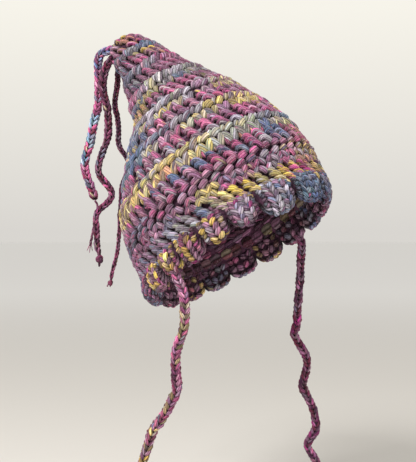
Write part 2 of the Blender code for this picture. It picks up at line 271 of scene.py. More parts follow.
def tube(path, radius, twist=0.07, phase=0.0, m=None, flat=1.0, depth=0.22,
         ends=0.55, ref=(0.0, 0.0, 1.0), closed_ends=True, plies=3):
    """A three-ply strand along a path: its points and their distance along."""
    path = np.asarray(path, float)
    k = len(path)
    m = m or 4 * plies
    seg = np.linalg.norm(np.diff(path, axis=0), axis=1)
    run = np.concatenate([[0.0], np.cumsum(seg)])
    t = np.gradient(path, axis=0)
    t /= np.maximum(np.linalg.norm(t, axis=1, keepdims=True), 1e-9)
    mid = k // 2
    n = np.zeros_like(path)
    r = np.asarray(ref, float)
    r = r - t[mid] * (r @ t[mid])
    if np.linalg.norm(r) < 0.1:
        r = np.cross(t[mid], (0.3, 1.0, 0.2))
    n[mid] = r / np.linalg.norm(r)
    for q in range(mid + 1, k):
        x = n[q - 1] - t[q] * (n[q - 1] @ t[q])
        n[q] = x / max(np.linalg.norm(x), 1e-9)
    for q in range(mid - 1, -1, -1):
        x = n[q + 1] - t[q] * (n[q + 1] @ t[q])
        n[q] = x / max(np.linalg.norm(x), 1e-9)
    b = np.cross(t, n)
    th = 2 * math.pi * np.arange(m) / m
    lobe = 1.0 - depth + depth * np.abs(np.cos(0.5 * plies * th))
    ang = th[None] + (phase + twist * (run - run[mid]))[:, None]
    rad = np.broadcast_to(np.asarray(radius, float), (k,)).copy()
    if closed_ends:
        x = np.abs(2 * run / max(run[-1], 1e-9) - 1.0)
        rad = rad * (ends + (1.0 - ends) * np.sqrt(np.clip(1.0 - x**5, 0.0, 1.0)))
    rr = rad[:, None] * lobe[None]
    body = (path[:, None] + (rr * np.cos(ang) * flat)[..., None] * n[:, None]
            + (rr * np.sin(ang))[..., None] * b[:, None])
    tips = np.stack([path[0] - t[0] * rad[0] * 0.45, path[-1] + t[-1] * rad[-1] * 0.45])
    return np.concatenate([body.reshape(-1, 3), tips]), run, k, m, plies


class Wool:
    """Collects strands into one mesh."""

    def __init__(self, inner=False, gain=1.0):
        self.inner = inner
        self.gain = gain                 # how light this round's wool is
        self.co, self.quads, self.tris = [], [], []
        self.q_uv, self.t_uv, self.q_cell, self.t_cell = [], [], [], []
        self.q_col, self.t_col = [], []
        self.n = 0
        self.strands = 0
        self.q_id, self.t_id = [], []

    def add(self, strand, colours, place=None, shade=None):
        co, run, k, m, plies = strand
        # dim holds painted shade and highlight for each point, from the shade function
        dim = np.ones(len(co)) if shade is None else shade(co)
        if place is not None:
            co = place(co)
        sh = tube_shape(k, m, plies)
        self.co.append(co)
        self.quads.append(sh["quads"] + self.n)
        self.tris.append(sh["tris"] + self.n)
        self.n += len(co)
        self.q_uv.append(np.stack([sh["u_q"], run[sh["ring_q"]]], -1))
        self.t_uv.append(np.stack([sh["u_t"], run[sh["ring_t"]]], -1))
        self.q_cell.append(sh["cell_q"])
        self.t_cell.append(sh["cell_t"])
        c = np.asarray(colours, float) * self.gain
        if c.ndim == 2:
            c = np.broadcast_to(c, (k,) + c.shape)
        self.q_col.append(c[sh["ring_q"], sh["ply_q"][:, None]] * dim[sh["quads"]][..., None])
        self.t_col.append(c[sh["ring_t"], sh["ply_t"][:, None]] * dim[sh["tris"]][..., None])
        self.q_id.append(np.full(len(sh["quads"]), self.strands))
        self.t_id.append(np.full(len(sh["tris"]), self.strands))
        self.strands += 1

    def triangles(self):
        return 2 * sum(len(q) for q in self.quads) + sum(len(t) for t in self.tris)

    def build(self, name, material):
        cat = np.concatenate
        co = cat(self.co) * MM
        quads, tris = cat(self.quads), cat(self.tris)
        # faces look outwards when the strand's volume is positive
        v0, v1, v2 = (co[quads[:, i]] for i in (0, 1, 2))
        if np.einsum("ij,ij->", np.cross(v1 - v0, v2 - v0),
                     v0 - np.repeat([c.mean(0) * MM for c in self.co],
                                    [len(q) for q in self.quads], axis=0)) < 0:
            order4, order3 = [0, 3, 2, 1], [0, 2, 1]
        else:
            order4, order3 = [0, 1, 2, 3], [0, 1, 2]
        side = math.ceil(math.sqrt(self.strands))

        def atlas(cell, ident):
            c = 0.05 + 0.9 * cell
            c[..., 0] += (ident % side)[:, None]
            c[..., 1] += (ident // side)[:, None]
            return c / side
        uv = cat([cat(self.q_uv)[:, order4].reshape(-1, 2),
                  cat(self.t_uv)[:, order3].reshape(-1, 2)])
        bake = cat([atlas(cat(self.q_cell), cat(self.q_id))[:, order4].reshape(-1, 2),
                    atlas(cat(self.t_cell), cat(self.t_id))[:, order3].reshape(-1, 2)])
        col = cat([cat(self.q_col)[:, order4].reshape(-1, 3),
                   cat(self.t_col)[:, order3].reshape(-1, 3)])
        return make_mesh(name, co, quads[:, order4], tris[:, order3], material,
                         uv, bake, col)


def painted_depth_shade(v):
    """Painted shade: yarn colour is darkened the deeper it lies between its neighbours, and a
    little lifted as painted highlight on top.
    """
    return 0.36 + 0.70 * np.clip((v[:, 2] + 5.2) / 5.4, 0.0, 1.0) ** 0.9


def make_mesh(name, co, quads, tris, material, uv=None, bake=None, col=None):
    me = bpy.data.meshes.new(name)
    me.vertices.add(len(co))
    me.vertices.foreach_set("co", np.asarray(co, np.float32).ravel())
    loops = np.concatenate([quads.ravel(), tris.ravel()]).astype(np.int32)
    starts = np.concatenate([np.arange(len(quads)) * 4,
                             4 * len(quads) + np.arange(len(tris)) * 3])
    me.loops.add(len(loops))
    me.polygons.add(len(starts))
    me.polygons.foreach_set("loop_start", starts.astype(np.int32))
    me.loops.foreach_set("vertex_index", loops)
    me.update(calc_edges=True)
    if uv is not None:
        layer = me.uv_layers.new(name="YarnUV")
        layer.uv.foreach_set("vector", uv.astype(np.float32).ravel())
        layer = me.uv_layers.new(name="OFBake")
        layer.uv.foreach_set("vector", bake.astype(np.float32).ravel())
    if col is not None:
        attr = me.color_attributes.new(name="dye", type="BYTE_COLOR", domain="CORNER")
        rgba = np.ones((len(loops), 4), np.float32)
        rgba[:, :3] = col
        attr.data.foreach_set("color_srgb", rgba.ravel())
    me.validate(clean_customdata=False)
    me.shade_smooth()
    me.materials.append(material)
    obj = bpy.data.objects.new(name, me)
    bpy.context.scene.collection.objects.link(obj)
    return obj


# --------------------------------------------------------------- materials --
def wool_material(name, strength=1.0, fibre=1.0, painted_groove_shade=0.68, painted_highlight_most=0.30):
    mat = bpy.data.materials.new(name)
    mat.use_nodes = True
    nt = mat.node_tree
    nodes, links = nt.nodes, nt.links
    bsdf = nodes["Principled BSDF"]
    bsdf.inputs["Metallic"].default_value = 0.0
    bsdf.inputs["Specular IOR Level"].default_value = 0.16
    bsdf.inputs["Sheen Weight"].default_value = 0.10
    bsdf.inputs["Sheen Roughness"].default_value = 0.45
    bsdf.inputs["Sheen Tint"].default_value = (1.0, 0.94, 0.97, 1.0)

    def math_node(op, a, b=None, clamp=False):
        n = nodes.new("ShaderNodeMath")
        n.operation = op
        n.use_clamp = clamp
        for i, x in enumerate((a, b)):
            if x is None:
                continue
            if isinstance(x, (int, float)):
                n.inputs[i].default_value = x
            else:
                links.new(x, n.inputs[i])
        return n.outputs[0]

    uvn = nodes.new("ShaderNodeUVMap")
    uvn.uv_map = "YarnUV"
    sep = nodes.new("ShaderNodeSeparateXYZ")
    links.new(uvn.outputs[0], sep.inputs[0])
    u, v = sep.outputs[0], sep.outputs[1]
    # 1 in the groove between two plies, 0 on a ply's crest; the colour is darkened in the groove
    # as painted shade
    groove = math_node("ABSOLUTE", math_node("SUBTRACT", math_node(
        "MULTIPLY", math_node("FRACT", u), 2.0), 1.0))
    ramp = nodes.new("ShaderNodeMapRange")
    ramp.interpolation_type = "SMOOTHSTEP"
    links.new(groove, ramp.inputs["Value"])
    ramp.inputs["From Min"].default_value = 0.42
    ramp.inputs["From Max"].default_value = 1.0
    ramp.inputs["To Min"].default_value = 1.0
    ramp.inputs["To Max"].default_value = 1.0 - painted_groove_shade

    # each ply is itself two threads; the line between them is darkened as painted shade and their
    # crests are a little lifted as painted highlight
    thin = math_node("ABSOLUTE", math_node("SUBTRACT", math_node(
        "MULTIPLY", math_node("FRACT", math_node("MULTIPLY", u, 2.0)), 2.0), 1.0))
    lines = nodes.new("ShaderNodeMapRange")
    lines.interpolation_type = "SMOOTHSTEP"
    links.new(thin, lines.inputs["Value"])
    lines.inputs["From Min"].default_value = 0.45
    lines.inputs["From Max"].default_value = 1.0
    lines.inputs["To Min"].default_value = 1.06
    lines.inputs["To Max"].default_value = 0.62

    # fibres run along each ply, a little slanted across it
    slant = math_node("ADD", math_node("MULTIPLY", u, 3.2 * fibre),
                      math_node("MULTIPLY", v, 0.55))
    comb = nodes.new("ShaderNodeCombineXYZ")
    links.new(slant, comb.inputs[0])
    links.new(math_node("MULTIPLY", v, 0.30), comb.inputs[1])
    geo = nodes.new("ShaderNodeNewGeometry")
    # a slow part from the place itself keeps two strands from matching
    place = nodes.new("ShaderNodeVectorMath")
    place.operation = "SCALE"
    place.inputs["Scale"].default_value = 60.0
    links.new(geo.outputs["Position"], place.inputs[0])
    psep = nodes.new("ShaderNodeSeparateXYZ")
    links.new(place.outputs[0], psep.inputs[0])
    links.new(math_node("ADD", psep.outputs[0], psep.outputs[2]), comb.inputs[2])
    fib = nodes.new("ShaderNodeTexNoise")
    fib.inputs["Scale"].default_value = 1.0
    fib.inputs["Detail"].default_value = 3.0
    fib.inputs["Roughness"].default_value = 0.6
    links.new(comb.outputs[0], fib.inputs["Vector"])
    streak = nodes.new("ShaderNodeMapRange")
    links.new(fib.outputs[0], streak.inputs["Value"])
    streak.inputs["From Min"].default_value = 0.3
    streak.inputs["From Max"].default_value = 0.7
    streak.inputs["To Min"].default_value = 0.66
    streak.inputs["To Max"].default_value = 1.28

    blot = nodes.new("ShaderNodeTexNoise")
    blot.inputs["Scale"].default_value = 210.0
    blot.inputs["Detail"].default_value = 2.0
    links.new(geo.outputs["Position"], blot.inputs["Vector"])
    patch = nodes.new("ShaderNodeMapRange")
    links.new(blot.outputs[0], patch.inputs["Value"])
    patch.inputs["From Min"].default_value = 0.3
    patch.inputs["From Max"].default_value = 0.7
    patch.inputs["To Min"].default_value = 0.88
    patch.inputs["To Max"].default_value = 1.12

    shade = math_node("MULTIPLY", math_node("MULTIPLY", ramp.outputs[0],
                                            streak.outputs[0]), patch.outputs[0])
    shade = math_node("MULTIPLY", shade, strength)
    shade = math_node("MULTIPLY", shade, lines.outputs[0])
    att = nodes.new("ShaderNodeAttribute")
    att.attribute_type = "GEOMETRY"
    att.attribute_name = "dye"
    mul = nodes.new("ShaderNodeVectorMath")
    mul.operation = "SCALE"
    links.new(att.outputs["Color"], mul.inputs[0])
    links.new(shade, mul.inputs["Scale"])
    # painted highlight: pale specks mixed into the colour on the ply crests, standing for light
    # caught by loose fibres
    highlight_speck = nodes.new("ShaderNodeTexNoise")
    highlight_speck.inputs["Scale"].default_value = 620.0
    highlight_speck.inputs["Detail"].default_value = 3.0
    highlight_speck.inputs["Roughness"].default_value = 0.65
    links.new(geo.outputs["Position"], highlight_speck.inputs["Vector"])
    pale = nodes.new("ShaderNodeMapRange")
    links.new(highlight_speck.outputs[0], pale.inputs["Value"])
    pale.inputs["From Min"].default_value = 0.50
    pale.inputs["From Max"].default_value = 0.72
    pale.inputs["To Min"].default_value = 0.0
    pale.inputs["To Max"].default_value = painted_highlight_most
    mix = nodes.new("ShaderNodeMix")
    mix.data_type = "RGBA"
    links.new(math_node("MULTIPLY", pale.outputs[0], math_node(
        "MULTIPLY", ramp.outputs[0], lines.outputs[0]), clamp=True), mix.inputs[0])
    links.new(mul.outputs[0], mix.inputs[6])
    mix.inputs[7].default_value = (0.66, 0.55, 0.62, 1.0)
    links.new(mix.outputs[2], bsdf.inputs["Base Color"])

    rough = nodes.new("ShaderNodeMapRange")
    links.new(fib.outputs[0], rough.inputs["Value"])
    rough.inputs["To Min"].default_value = 0.72
    rough.inputs["To Max"].default_value = 0.95
    links.new(rough.outputs[0], bsdf.inputs["Roughness"])
    bump = nodes.new("ShaderNodeBump")
    bump.inputs["Strength"].default_value = 0.55
    bump.inputs["Distance"].default_value = 0.0006
    links.new(fib.outputs[0], bump.inputs["Height"])
    links.new(bump.outputs[0], bsdf.inputs["Normal"])
    return mat


def gap_shade_material(name, dark, light):
    """Wool seen through the gaps between stitches, coloured dark as painted shade."""
    mat = bpy.data.materials.new(name)
    mat.use_nodes = True
    nodes, links = mat.node_tree.nodes, mat.node_tree.links
    bsdf = nodes["Principled BSDF"]
    bsdf.inputs["Specular IOR Level"].default_value = 0.15
    bsdf.inputs["Sheen Weight"].default_value = 0.1
    geo = nodes.new("ShaderNodeNewGeometry")
    noise = nodes.new("ShaderNodeTexNoise")
    noise.inputs["Scale"].default_value = 260.0
    noise.inputs["Detail"].default_value = 4.0
    links.new(geo.outputs["Position"], noise.inputs["Vector"])
    ramp = nodes.new("ShaderNodeValToRGB")
    ramp.color_ramp.elements[0].position = 0.35
    ramp.color_ramp.elements[0].color = (*dark, 1.0)
    ramp.color_ramp.elements[1].position = 0.7
    ramp.color_ramp.elements[1].color = (*light, 1.0)
    links.new(noise.outputs[0], ramp.inputs[0])
    links.new(ramp.outputs[0], bsdf.inputs["Base Color"])
    rough = nodes.new("ShaderNodeMapRange")
    links.new(noise.outputs[0], rough.inputs["Value"])
    rough.inputs["To Min"].default_value = 0.8
    rough.inputs["To Max"].default_value = 1.0
    links.new(rough.outputs[0], bsdf.inputs["Roughness"])
    bump = nodes.new("ShaderNodeBump")
    bump.inputs["Strength"].default_value = 0.6
    bump.inputs["Distance"].default_value = 0.001
    links.new(noise.outputs[0], bump.inputs["Height"])
    links.new(bump.outputs[0], bsdf.inputs["Normal"])
    return mat


WOOL = wool_material("crown_yarn")
EDGE_WOOL = wool_material("edge_yarn")
TIE_YARN = wool_material("tie_yarn", painted_highlight_most=0.16)
STRING_YARN = wool_material("string_yarn", painted_highlight_most=0.12)
GAP_SHADE_WOOL = gap_shade_material("inner_gap_shade", (0.012, 0.004, 0.010), (0.070, 0.026, 0.052))
LINING_GAP_SHADE = gap_shade_material("lining_gap_shade", (0.070, 0.026, 0.052), (0.200, 0.085, 0.150))

# ------------------------------------------------------------------- cords --
def catmull(top, route):
    """The route's curve as fine points, the same as the CAD cord's."""
    start = np.asarray(top, float)
    rows = np.array([start - UP * d + ACROSS * s + AWAY * w for d, s, w in route])
    fine = []
    n = len(rows)
    for i in range(n - 1):
        p0, p1, p2, p3 = (rows[max(i - 1, 0)], rows[i], rows[i + 1],
                          rows[min(i + 2, n - 1)])
        for step in range(12):
            t = step / 12.0
            fine.append(0.5 * (2 * p1 + (p2 - p0) * t
                               + (2 * p0 - 5 * p1 + 4 * p2 - p3) * t * t
                               + (3 * p1 - p0 - 3 * p2 + p3) * t**3))
    fine.append(rows[-1])
    return np.array(fine)


def resample(points, spacing):
    run = np.concatenate([[0.0], np.cumsum(np.linalg.norm(np.diff(points, axis=0), axis=1))])
    count = max(4, round(run[-1] / spacing))
    want = np.linspace(0.0, run[-1], count + 1)
    return np.stack([np.interp(want, run, points[:, i]) for i in range(3)], 1)


class Rope:
    """Bends braid space (across, along, outwards) onto a cord's centreline."""

    def __init__(self, points, turn=0.0, wander=0.0, lead=0.0, root=None):
        p = resample(np.asarray(points, float), 1.0)
        if root is not None:             # the part inside the edging
            t0 = p[0] - p[4]
            t0 /= np.linalg.norm(t0)
            far = np.linalg.norm(p[0] - root)
            bend = smooth_path([root, (root + p[0] + t0 * far * 0.35) / 2, p[0], p[4]], 40)
            cut = int(np.argmin(np.linalg.norm(bend - p[0], axis=1)))
            p = resample(np.concatenate([bend[:cut], p]), 1.0)
        if lead:
            t0 = p[0] - p[3]
            t0 /= np.linalg.norm(t0)
            extra = p[0] + t0 * np.arange(lead, 0.0, -1.0)[:, None]
            p = np.concatenate([extra, p])
        self.p = p
        self.run = np.concatenate([[0.0], np.cumsum(np.linalg.norm(np.diff(p, axis=0), axis=1))])
        t = np.gradient(p, axis=0)
        for _ in range(3):
            t[1:-1] = (t[:-2] + 2 * t[1:-1] + t[2:]) / 4
        self.t = t / np.linalg.norm(t, axis=1, keepdims=True)
        face = -AWAY
        n = face - self.t * (self.t @ face)[:, None]
        n /= np.linalg.norm(n, axis=1, keepdims=True)
        b = np.cross(n, self.t)
        a = turn * self.run + wander * np.sin(self.run / 23.0)
        self.n = n * np.cos(a)[:, None] + b * np.sin(a)[:, None]
        self.b = np.cross(self.n, self.t)
        self.length = self.run[-1]

    def __call__(self, v):
        y = v[:, 1]
        yc = np.clip(y, 0.0, self.length)
        def at(q):
            return np.stack([np.interp(yc, self.run, q[:, i]) for i in range(3)], 1)
        t = at(self.t)
        t /= np.linalg.norm(t, axis=1, keepdims=True)
        return at(self.p) + t * (y - yc)[:, None] + at(self.b) * v[:, :1] + at(self.n) * v[:, 2:3]


def chain_cord(wool, rope, width, pitch, colours, taper=1.0, leg=1.36, k=7, m=10):
    """A crocheted chain: V legs on both faces, each lying over the next."""
    count = max(4, round((rope.length - 1.0 - 1.5 * pitch) / pitch)) + 1
    step = (rope.length - 1.0 - 1.5 * pitch) / (count - 1)
    for i in range(count):
        y = 0.75 * pitch + i * step
        share = y / rope.length
        z = 1.0 + (taper - 1.0) * share
        w = width * z * (1.0 + RNG.normal(0, 0.05))
        for face in (1.0, -1.0):
            for hand in (-1.0, 1.0):
                long = pitch * leg
                y0 = y - long * 0.5 + (0.5 * pitch if face < 0 else 0.0) + 0.3 * hand
                path = smooth_path([
                    (hand * w * 0.22, y0 - long * 0.06, face * w * -0.03),
                    (hand * w * 0.370, y0 + long * 0.16, face * w * 0.10),
                    (hand * w * 0.300, y0 + long * 0.44, face * w * 0.22),
                    (hand * w * 0.14, y0 + long * 0.74, face * w * 0.25),
                    (hand * w * 0.01, y0 + long * 0.98, face * w * 0.06),
                ], k)
                path += RNG.normal(0.0, 0.12, 3)
                c = colours(share, face)
                wool.add(tube(path, w * 0.232, twist=0.10 * hand, m=m,
                              phase=RNG.uniform(0, 6.3), flat=0.95, ref=(0, 0, face),
                              plies=m // 2, ends=0.38, depth=0.13), c, rope,
                         # painted shade: each leg's colour darkens towards the cord's centreline,
                         # with a slight painted highlight outermost
                         lambda v, w=w: 0.33 + 0.80 * np.clip(
                             np.hypot(v[:, 0], v[:, 2]) / (0.27 * w) - 0.66, 0.0, 1.0))


def knot_strands(wool, centre, axes, size, radius, colours):
    """A round pulled-tight knot: one strand wound through itself."""
    t = np.linspace(0.0, 2 * math.pi, 73)[:-1]
    sx, sy, sz = size
    big, small = 0.30, 0.17
    x = (big + small * np.cos(3 * t)) * np.cos(2 * t) * (sx - 2 * radius) / (2 * (big + small))
    y = (big + small * np.cos(3 * t)) * np.sin(2 * t) * (sz - 2 * radius) / (2 * (big + small))
    z = np.sin(3 * t) * (sy - 2 * radius) * 0.46
    pts = (centre + x[:, None] * axes[0] + y[:, None] * axes[1] + z[:, None] * axes[2])
    parts = 6
    for i in range(parts):
        idx = (np.arange(i * 12 - 1, i * 12 + 14)) % 72
        wool.add(tube(pts[idx], radius, twist=0.2, phase=i * 1.1, m=12, flat=1.0,
                      ends=0.8, ref=axes[2]), colours())
    # the strand's heart, so that nothing shows through
    heart = centre + np.linspace(-0.33, 0.33, 7)[:, None] * sz * axes[1]
    wool.add(tube(heart, 0.34 * min(sx, sy) * np.array([.6, .85, 1, 1, 1, .85, .6]),
                  twist=0.3, m=12, ref=axes[2]), colours())


TIE_RIGHT_TOP = (-100.0, 8.0, -41.0)
TIE_RIGHT_ROUTE = (
    (14.0, -3.5, 9.0), (21.0, 0.5, 6.5), (32.0, 3.5, 2.0), (56.0, 4.0, -4.0),
    (68.0, 1.5, -3.0), (80.0, -3.0, -2.0), (90.0, -5.0, -2.0), (103.0, -5.0, -3.0),
    (125.0, -4.0, -5.0), (134.0, -8.0, -5.0), (146.0, -14.0, -4.0),
    (158.0, -22.0, -3.0), (167.0, -28.5, -2.0), (182.0, -33.5, -2.0),
    (193.0, -37.0, -3.0), (208.0, -41.0, -5.0), (224.0, -42.5, -6.0),
    (240.0, -46.0, -5.0),
)
TIE_LEFT_TOP = (96.0, -38.0, 2.0)
TIE_LEFT_ROUTE = (
    (21.0, -1.0, 1.0), (38.0, -2.0, 4.0), (63.0, -3.0, 5.0), (86.0, -5.0, 5.0),
    (102.0, -6.0, 4.0), (115.0, -7.0, 3.0), (125.0, -10.0, 2.0),
    (138.0, -3.5, 2.0), (150.0, 3.5, 2.0), (163.0, 5.0, 3.0),
    (181.0, 0.5, 4.0), (187.0, 0.0, 4.0), (200.0, 6.5, 3.0),
    (212.0, 12.0, 3.0), (226.0, 15.0, 3.0), (237.0, 15.0, 4.0),
    (249.0, 8.0, 5.0), (257.0, 6.0, 5.0), (272.0, 15.0, 3.0),
    (286.0, 18.0, 2.0),
)
STRING_A_TOP = (8.0, 163.0, 216.0)
STRING_A_ROUTE = (
    (9.7, -13.9, -8.0), (12.2, -18.3, -5.0), (17.0, -20.8, -2.0), (23.8, -21.7, 0.0),
    (32.0, -21.7, 0.5), (41.5, -21.0, 1.0), (53.0, -21.0, 2.0), (65.0, -21.4, 2.0),
    (74.5, -22.3, 1.0), (83.0, -24.3, 0.0), (91.0, -26.4, 0.0), (100.5, -28.2, 0.0),
    (110.0, -30.0, 1.0), (118.0, -31.7, 2.0), (126.5, -34.7, 2.0), (135.0, -37.0, 2.0),
    (143.0, -37.6, 1.0), (152.5, -36.0, 1.0), (160.5, -33.0, 0.0), (169.0, -30.0, 0.0),
    (177.0, -27.0, 0.0), (181.5, -25.3, 0.0),
)
TAIL_ROUTE = (
    (185.5, -24.3, 0.0), (190.0, -22.5, 1.0), (197.5, -22.9, 1.0), (206.5, -25.3, 2.0),
    (217.5, -27.6, 2.0), (228.0, -29.4, 1.0), (238.0, -31.2, 1.0),
)
STRING_B_TOP = (-12.0, 160.5, 205.0)
STRING_B_ROUTE = (
    (14.4, -1.0, 1.0), (20.5, -3.2, 0.0), (28.5, -5.4, -1.0), (38.0, -6.5, -2.0),
    (47.0, -5.7, -2.0), (56.5, -3.4, -1.0), (65.5, -1.3, 0.0), (77.0, -0.2, 0.0),
    (89.0, 0.0, 0.0), (99.5, -0.9, 0.0), (108.5, -3.4, -1.0), (118.0, -6.9, -2.0),
    (126.5, -9.8, -2.0), (134.5, -11.5, -2.0), (142.0, -10.8, -2.0),
    (149.0, -6.8, -2.0), (155.5, -1.0, -1.0), (162.0, 3.0, 0.0), (168.0, 3.8, 0.0),
    (174.0, 0.6, 0.0), (179.0, -4.5, 0.0), (184.0, -10.3, 0.0), (190.0, -13.8, 0.0),
    (197.0, -14.6, -1.0), (206.0, -13.6, -1.0), (217.0, -13.3, -1.0),
    (227.5, -12.9, 0.0), (235.5, -10.9, 0.0),
)
STRING_C_TOP = (18.0, 158.0, 205.0)
STRING_C_ROUTE = (
    (2.0, 0.0, 2.0), (8.0, -6.0, 9.0), (18.0, -8.8, 13.0), (27.5, -9.6, 15.0),
    (39.0, -10.9, 17.0), (51.0, -13.0, 17.0), (61.0, -12.8, 17.0), (69.5, -10.7, 17.0),
    (79.0, -9.2, 17.0), (90.0, -8.7, 17.0), (101.0, -8.9, 17.0), (110.0, -6.5, 17.0),
    (118.5, -0.4, 17.0), (127.0, 3.8, 17.0), (137.0, 3.0, 17.0), (146.5, -1.6, 17.0),
    (156.0, -4.9, 17.0), (167.0, -5.6, 17.0), (180.0, -6.5, 17.0), (192.0, -7.3, 17.0),
    (205.0, -7.5, 17.0), (217.5, -8.5, 17.0), (230.5, -9.7, 16.0), (242.5, -11.9, 15.0),
    (252.0, -14.5, 15.0), (260.5, -16.7, 15.0), (266.5, -17.4, 15.0),
)


def runs_colour(rows, light=0.0):
    """rows: (share of the cord's length, letters)."""
    def pick(share, face):
        s = share + RNG.normal(0.0, 0.012)
        for end, letters in rows:
            if s < end:
                return dye(letters, own=0.90, stray=0.03, light=light, plies=5)
        return dye(rows[-1][1], own=0.90, stray=0.03, light=light, plies=5)
    return pick


def make_free_cord(name, node, top, route, diameter, width, pitch, colours,
                   material, knot=None, knot_letters="um",
                   taper=1.0, turn=0.0, wander=0.25, lead=0.0, knot_rad=2.6,
                   extra=None, root=None, gain=1.0):
    fine = catmull(top, route)
    wool = Wool(gain=gain)
    rope = Rope(fine, turn=turn, wander=wander, lead=lead, root=root)
    chain_cord(wool, rope, width, pitch, colours, taper=taper)
    obj = wool.build(name, material)
    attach(obj, "root")
    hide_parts(node)
    path = resample(fine, diameter * 1.6)
    with_pieces = []
    if knot is not None:
        end = path[-1]
        way = path[-1] - path[-3]
        way /= np.linalg.norm(way)
        centre = end + way * (knot[2] / 2 + 0.75)
        ax_z = -AWAY - way * (way @ -AWAY)
        ax_z /= np.linalg.norm(ax_z)
        ax_x = np.cross(way, ax_z)
        tied = Wool()
        knot_strands(tied, centre, (ax_x, way, ax_z), knot, knot_rad,
                     lambda: dye(knot_letters, own=0.6))
        # the chain runs into the knot
        for q in range(4):
            a = 1.571 * q + 0.6
            side = 0.19 * width * taper * (ax_x * math.cos(a) + ax_z * math.sin(a))
            tied.add(tube(smooth_path([end - way * 3.4 + side, end + way * 0.4 + side * 0.86,
                                       centre - way * 0.6 + side * 0.7], 5),
                          0.21 * width * taper, twist=0.3, m=8, plies=4, ends=0.6,
                          ref=ax_z), dye(knot_letters, own=0.9, plies=4))
        # the strand's cut ends stick out under the knot
        for q in range(3):
            side = RNG.normal(0, 1.0, 2)
            start = centre + way * knot[2] * 0.2 + ax_x * side[0] + ax_z * side[1]
            stop = centre + way * (knot[2] * 0.5 + (0.33 * knot[2] + q) * (knot[2] / 14.0) ** 2) + ax_x * side[0] * 2.4 + ax_z * side[1] * 1.6
            tied.add(tube(smooth_path([start, (start + stop) / 2 + ax_x * 0.5, stop], 6),
                          0.48 * knot_rad, twist=0.5, m=6, ends=0.5, ref=ax_z), dye(knot_letters))
        kobj = tied.build(name + "_knot", material)
        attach(kobj, "root")
        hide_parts(node + "_knot")
        with_pieces.append(kobj)
    if extra is not None:
        with_pieces += extra(path)
    path = resample(rope.p, diameter * 1.2)       # with the part inside the hood
    return obj


def frayed_tail(path):
    """The loose yarn end below string A, untwisting into its plies."""
    fine = catmull(STRING_A_TOP, TAIL_ROUTE)
    rope = Rope(fine, turn=0.0, wander=0.0, lead=4.0)
    wool = Wool()
    for i in range(int(rope.length / 5.0)):
        y = 2.0 + i * 5.0
        share = y / rope.length
        for q in range(3):
            a0 = q * 2.094 + y * 0.30
            a1 = a0 + 5.6 * 0.30
            spread = 0.75 + 1.1 * max(0.0, share - 0.55)
            steps = np.linspace(0.0, 1.0, 6)
            ang = a0 + (a1 - a0) * steps
            pts = np.stack([np.cos(ang) * spread, y + 5.6 * steps,
                            np.sin(ang) * spread], 1)
            wool.add(tube(pts, 0.85, twist=0.7, m=6, ends=0.75), dye("mpmp"), rope)
    for q, (dx, dz, ln) in enumerate(((-1.6, 0.6, 9.0), (0.2, -0.8, 11.0), (2.2, 0.4, 8.0))):
        y = rope.length - 3.0
        pts = smooth_path([(0.4 * dx, y, 0.3 * dz), (dx, y + ln * 0.5, dz),
                           (1.7 * dx, y + ln, dz * 1.5)], 6)
        wool.add(tube(pts, 0.6, twist=0.7, m=6, ends=0.4), dye("mpdn"), rope)
    obj = wool.build("string_a_tail", STRING_YARN)
    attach(obj, "root")
    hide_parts("peak_string_a_tail")
    return [obj]


make_free_cord("right_tie", "tie_right", TIE_RIGHT_TOP, TIE_RIGHT_ROUTE, 9.0, 9.2, 5.3,
               runs_colour([(0.10, "mvup"), (0.2, "mvpu"), (0.32, "umosv"), (0.42, "mvuo"),
                            (0.55, "vumx"), (0.66, "vmuox"), (0.8, "vxyou"), (1.0, "vxoYu")]),
               TIE_YARN, knot=(15.0, 12.0, 14.0),
               knot_letters="uymo", root=np.array((-91.5, 21.5, -33.0)))
make_free_cord("left_tie", "tie_left", TIE_LEFT_TOP, TIE_LEFT_ROUTE, 9.0, 8.6, 5.2,
               runs_colour([(0.3, "vuxd"), (0.55, "xvuM"), (0.75, "vxud"), (1.0, "xvudM")]),
               TIE_YARN, knot=(15.0, 12.0, 14.0),
               knot_letters="umd", root=np.array((95.5, -28.0, -6.0)))
make_free_cord("string_a", "peak_string_a", STRING_A_TOP, STRING_A_ROUTE, 8.0, 9.0, 5.6,
               runs_colour([(0.1, "kbv"), (0.2, "vbkd"), (0.38, "vmpd"), (0.46, "vvpm"),
                            (0.54, "tkt"), (0.60, "mvx"), (0.66, "ttk"), (0.73, "mxm"),
                            (0.79, "tkb"), (0.87, "xmv"), (0.93, "tkv"), (1.0, "mxv")]),
               STRING_YARN, root=np.array((-2.0, 155.0, 208.0)),
               gain=1.28,
               extra=frayed_tail)
make_free_cord("string_b", "peak_string_b", STRING_B_TOP, STRING_B_ROUTE, 7.6, 8.8, 5.6,
               runs_colour([(0.2, "dxvx"), (0.45, "xvdx"), (0.6, "vdkx"), (0.8, "vmxd"),
                            (1.0, "mvdx")]),
               STRING_YARN, knot=(10.0, 9.0, 11.0),
               knot_letters="mvd", knot_rad=2.1, taper=0.7,
               root=np.array((-8.0, 153.0, 198.0)))
make_free_cord("string_c", "peak_string_c", STRING_C_TOP, STRING_C_ROUTE, 5.8, 6.8, 4.8,
               runs_colour([(0.35, "dxx"), (0.6, "dxd"), (0.8, "xdv"), (1.0, "mxdv")]),
               STRING_YARN, knot=(7.0, 7.0, 8.0),
               knot_letters="mvx", knot_rad=1.6, taper=0.62,
               root=np.array((13.0, 150.0, 206.0)))

# --------------------------------------------------- the crown's stitches --
def put(wool, strand, colours, phi, dphi, width, length):
    # outer stitches get painted shade by depth in their colour; the lining gets none
    wool.add(strand, colours, lambda v: crown_map(v, phi, dphi, width, length),
             None if wool.inner else painted_depth_shade)


def jig(scale=1.0):
    return RNG.normal(0.0, 0.45 * scale, 3) * (1.0, 1.0, 0.7)


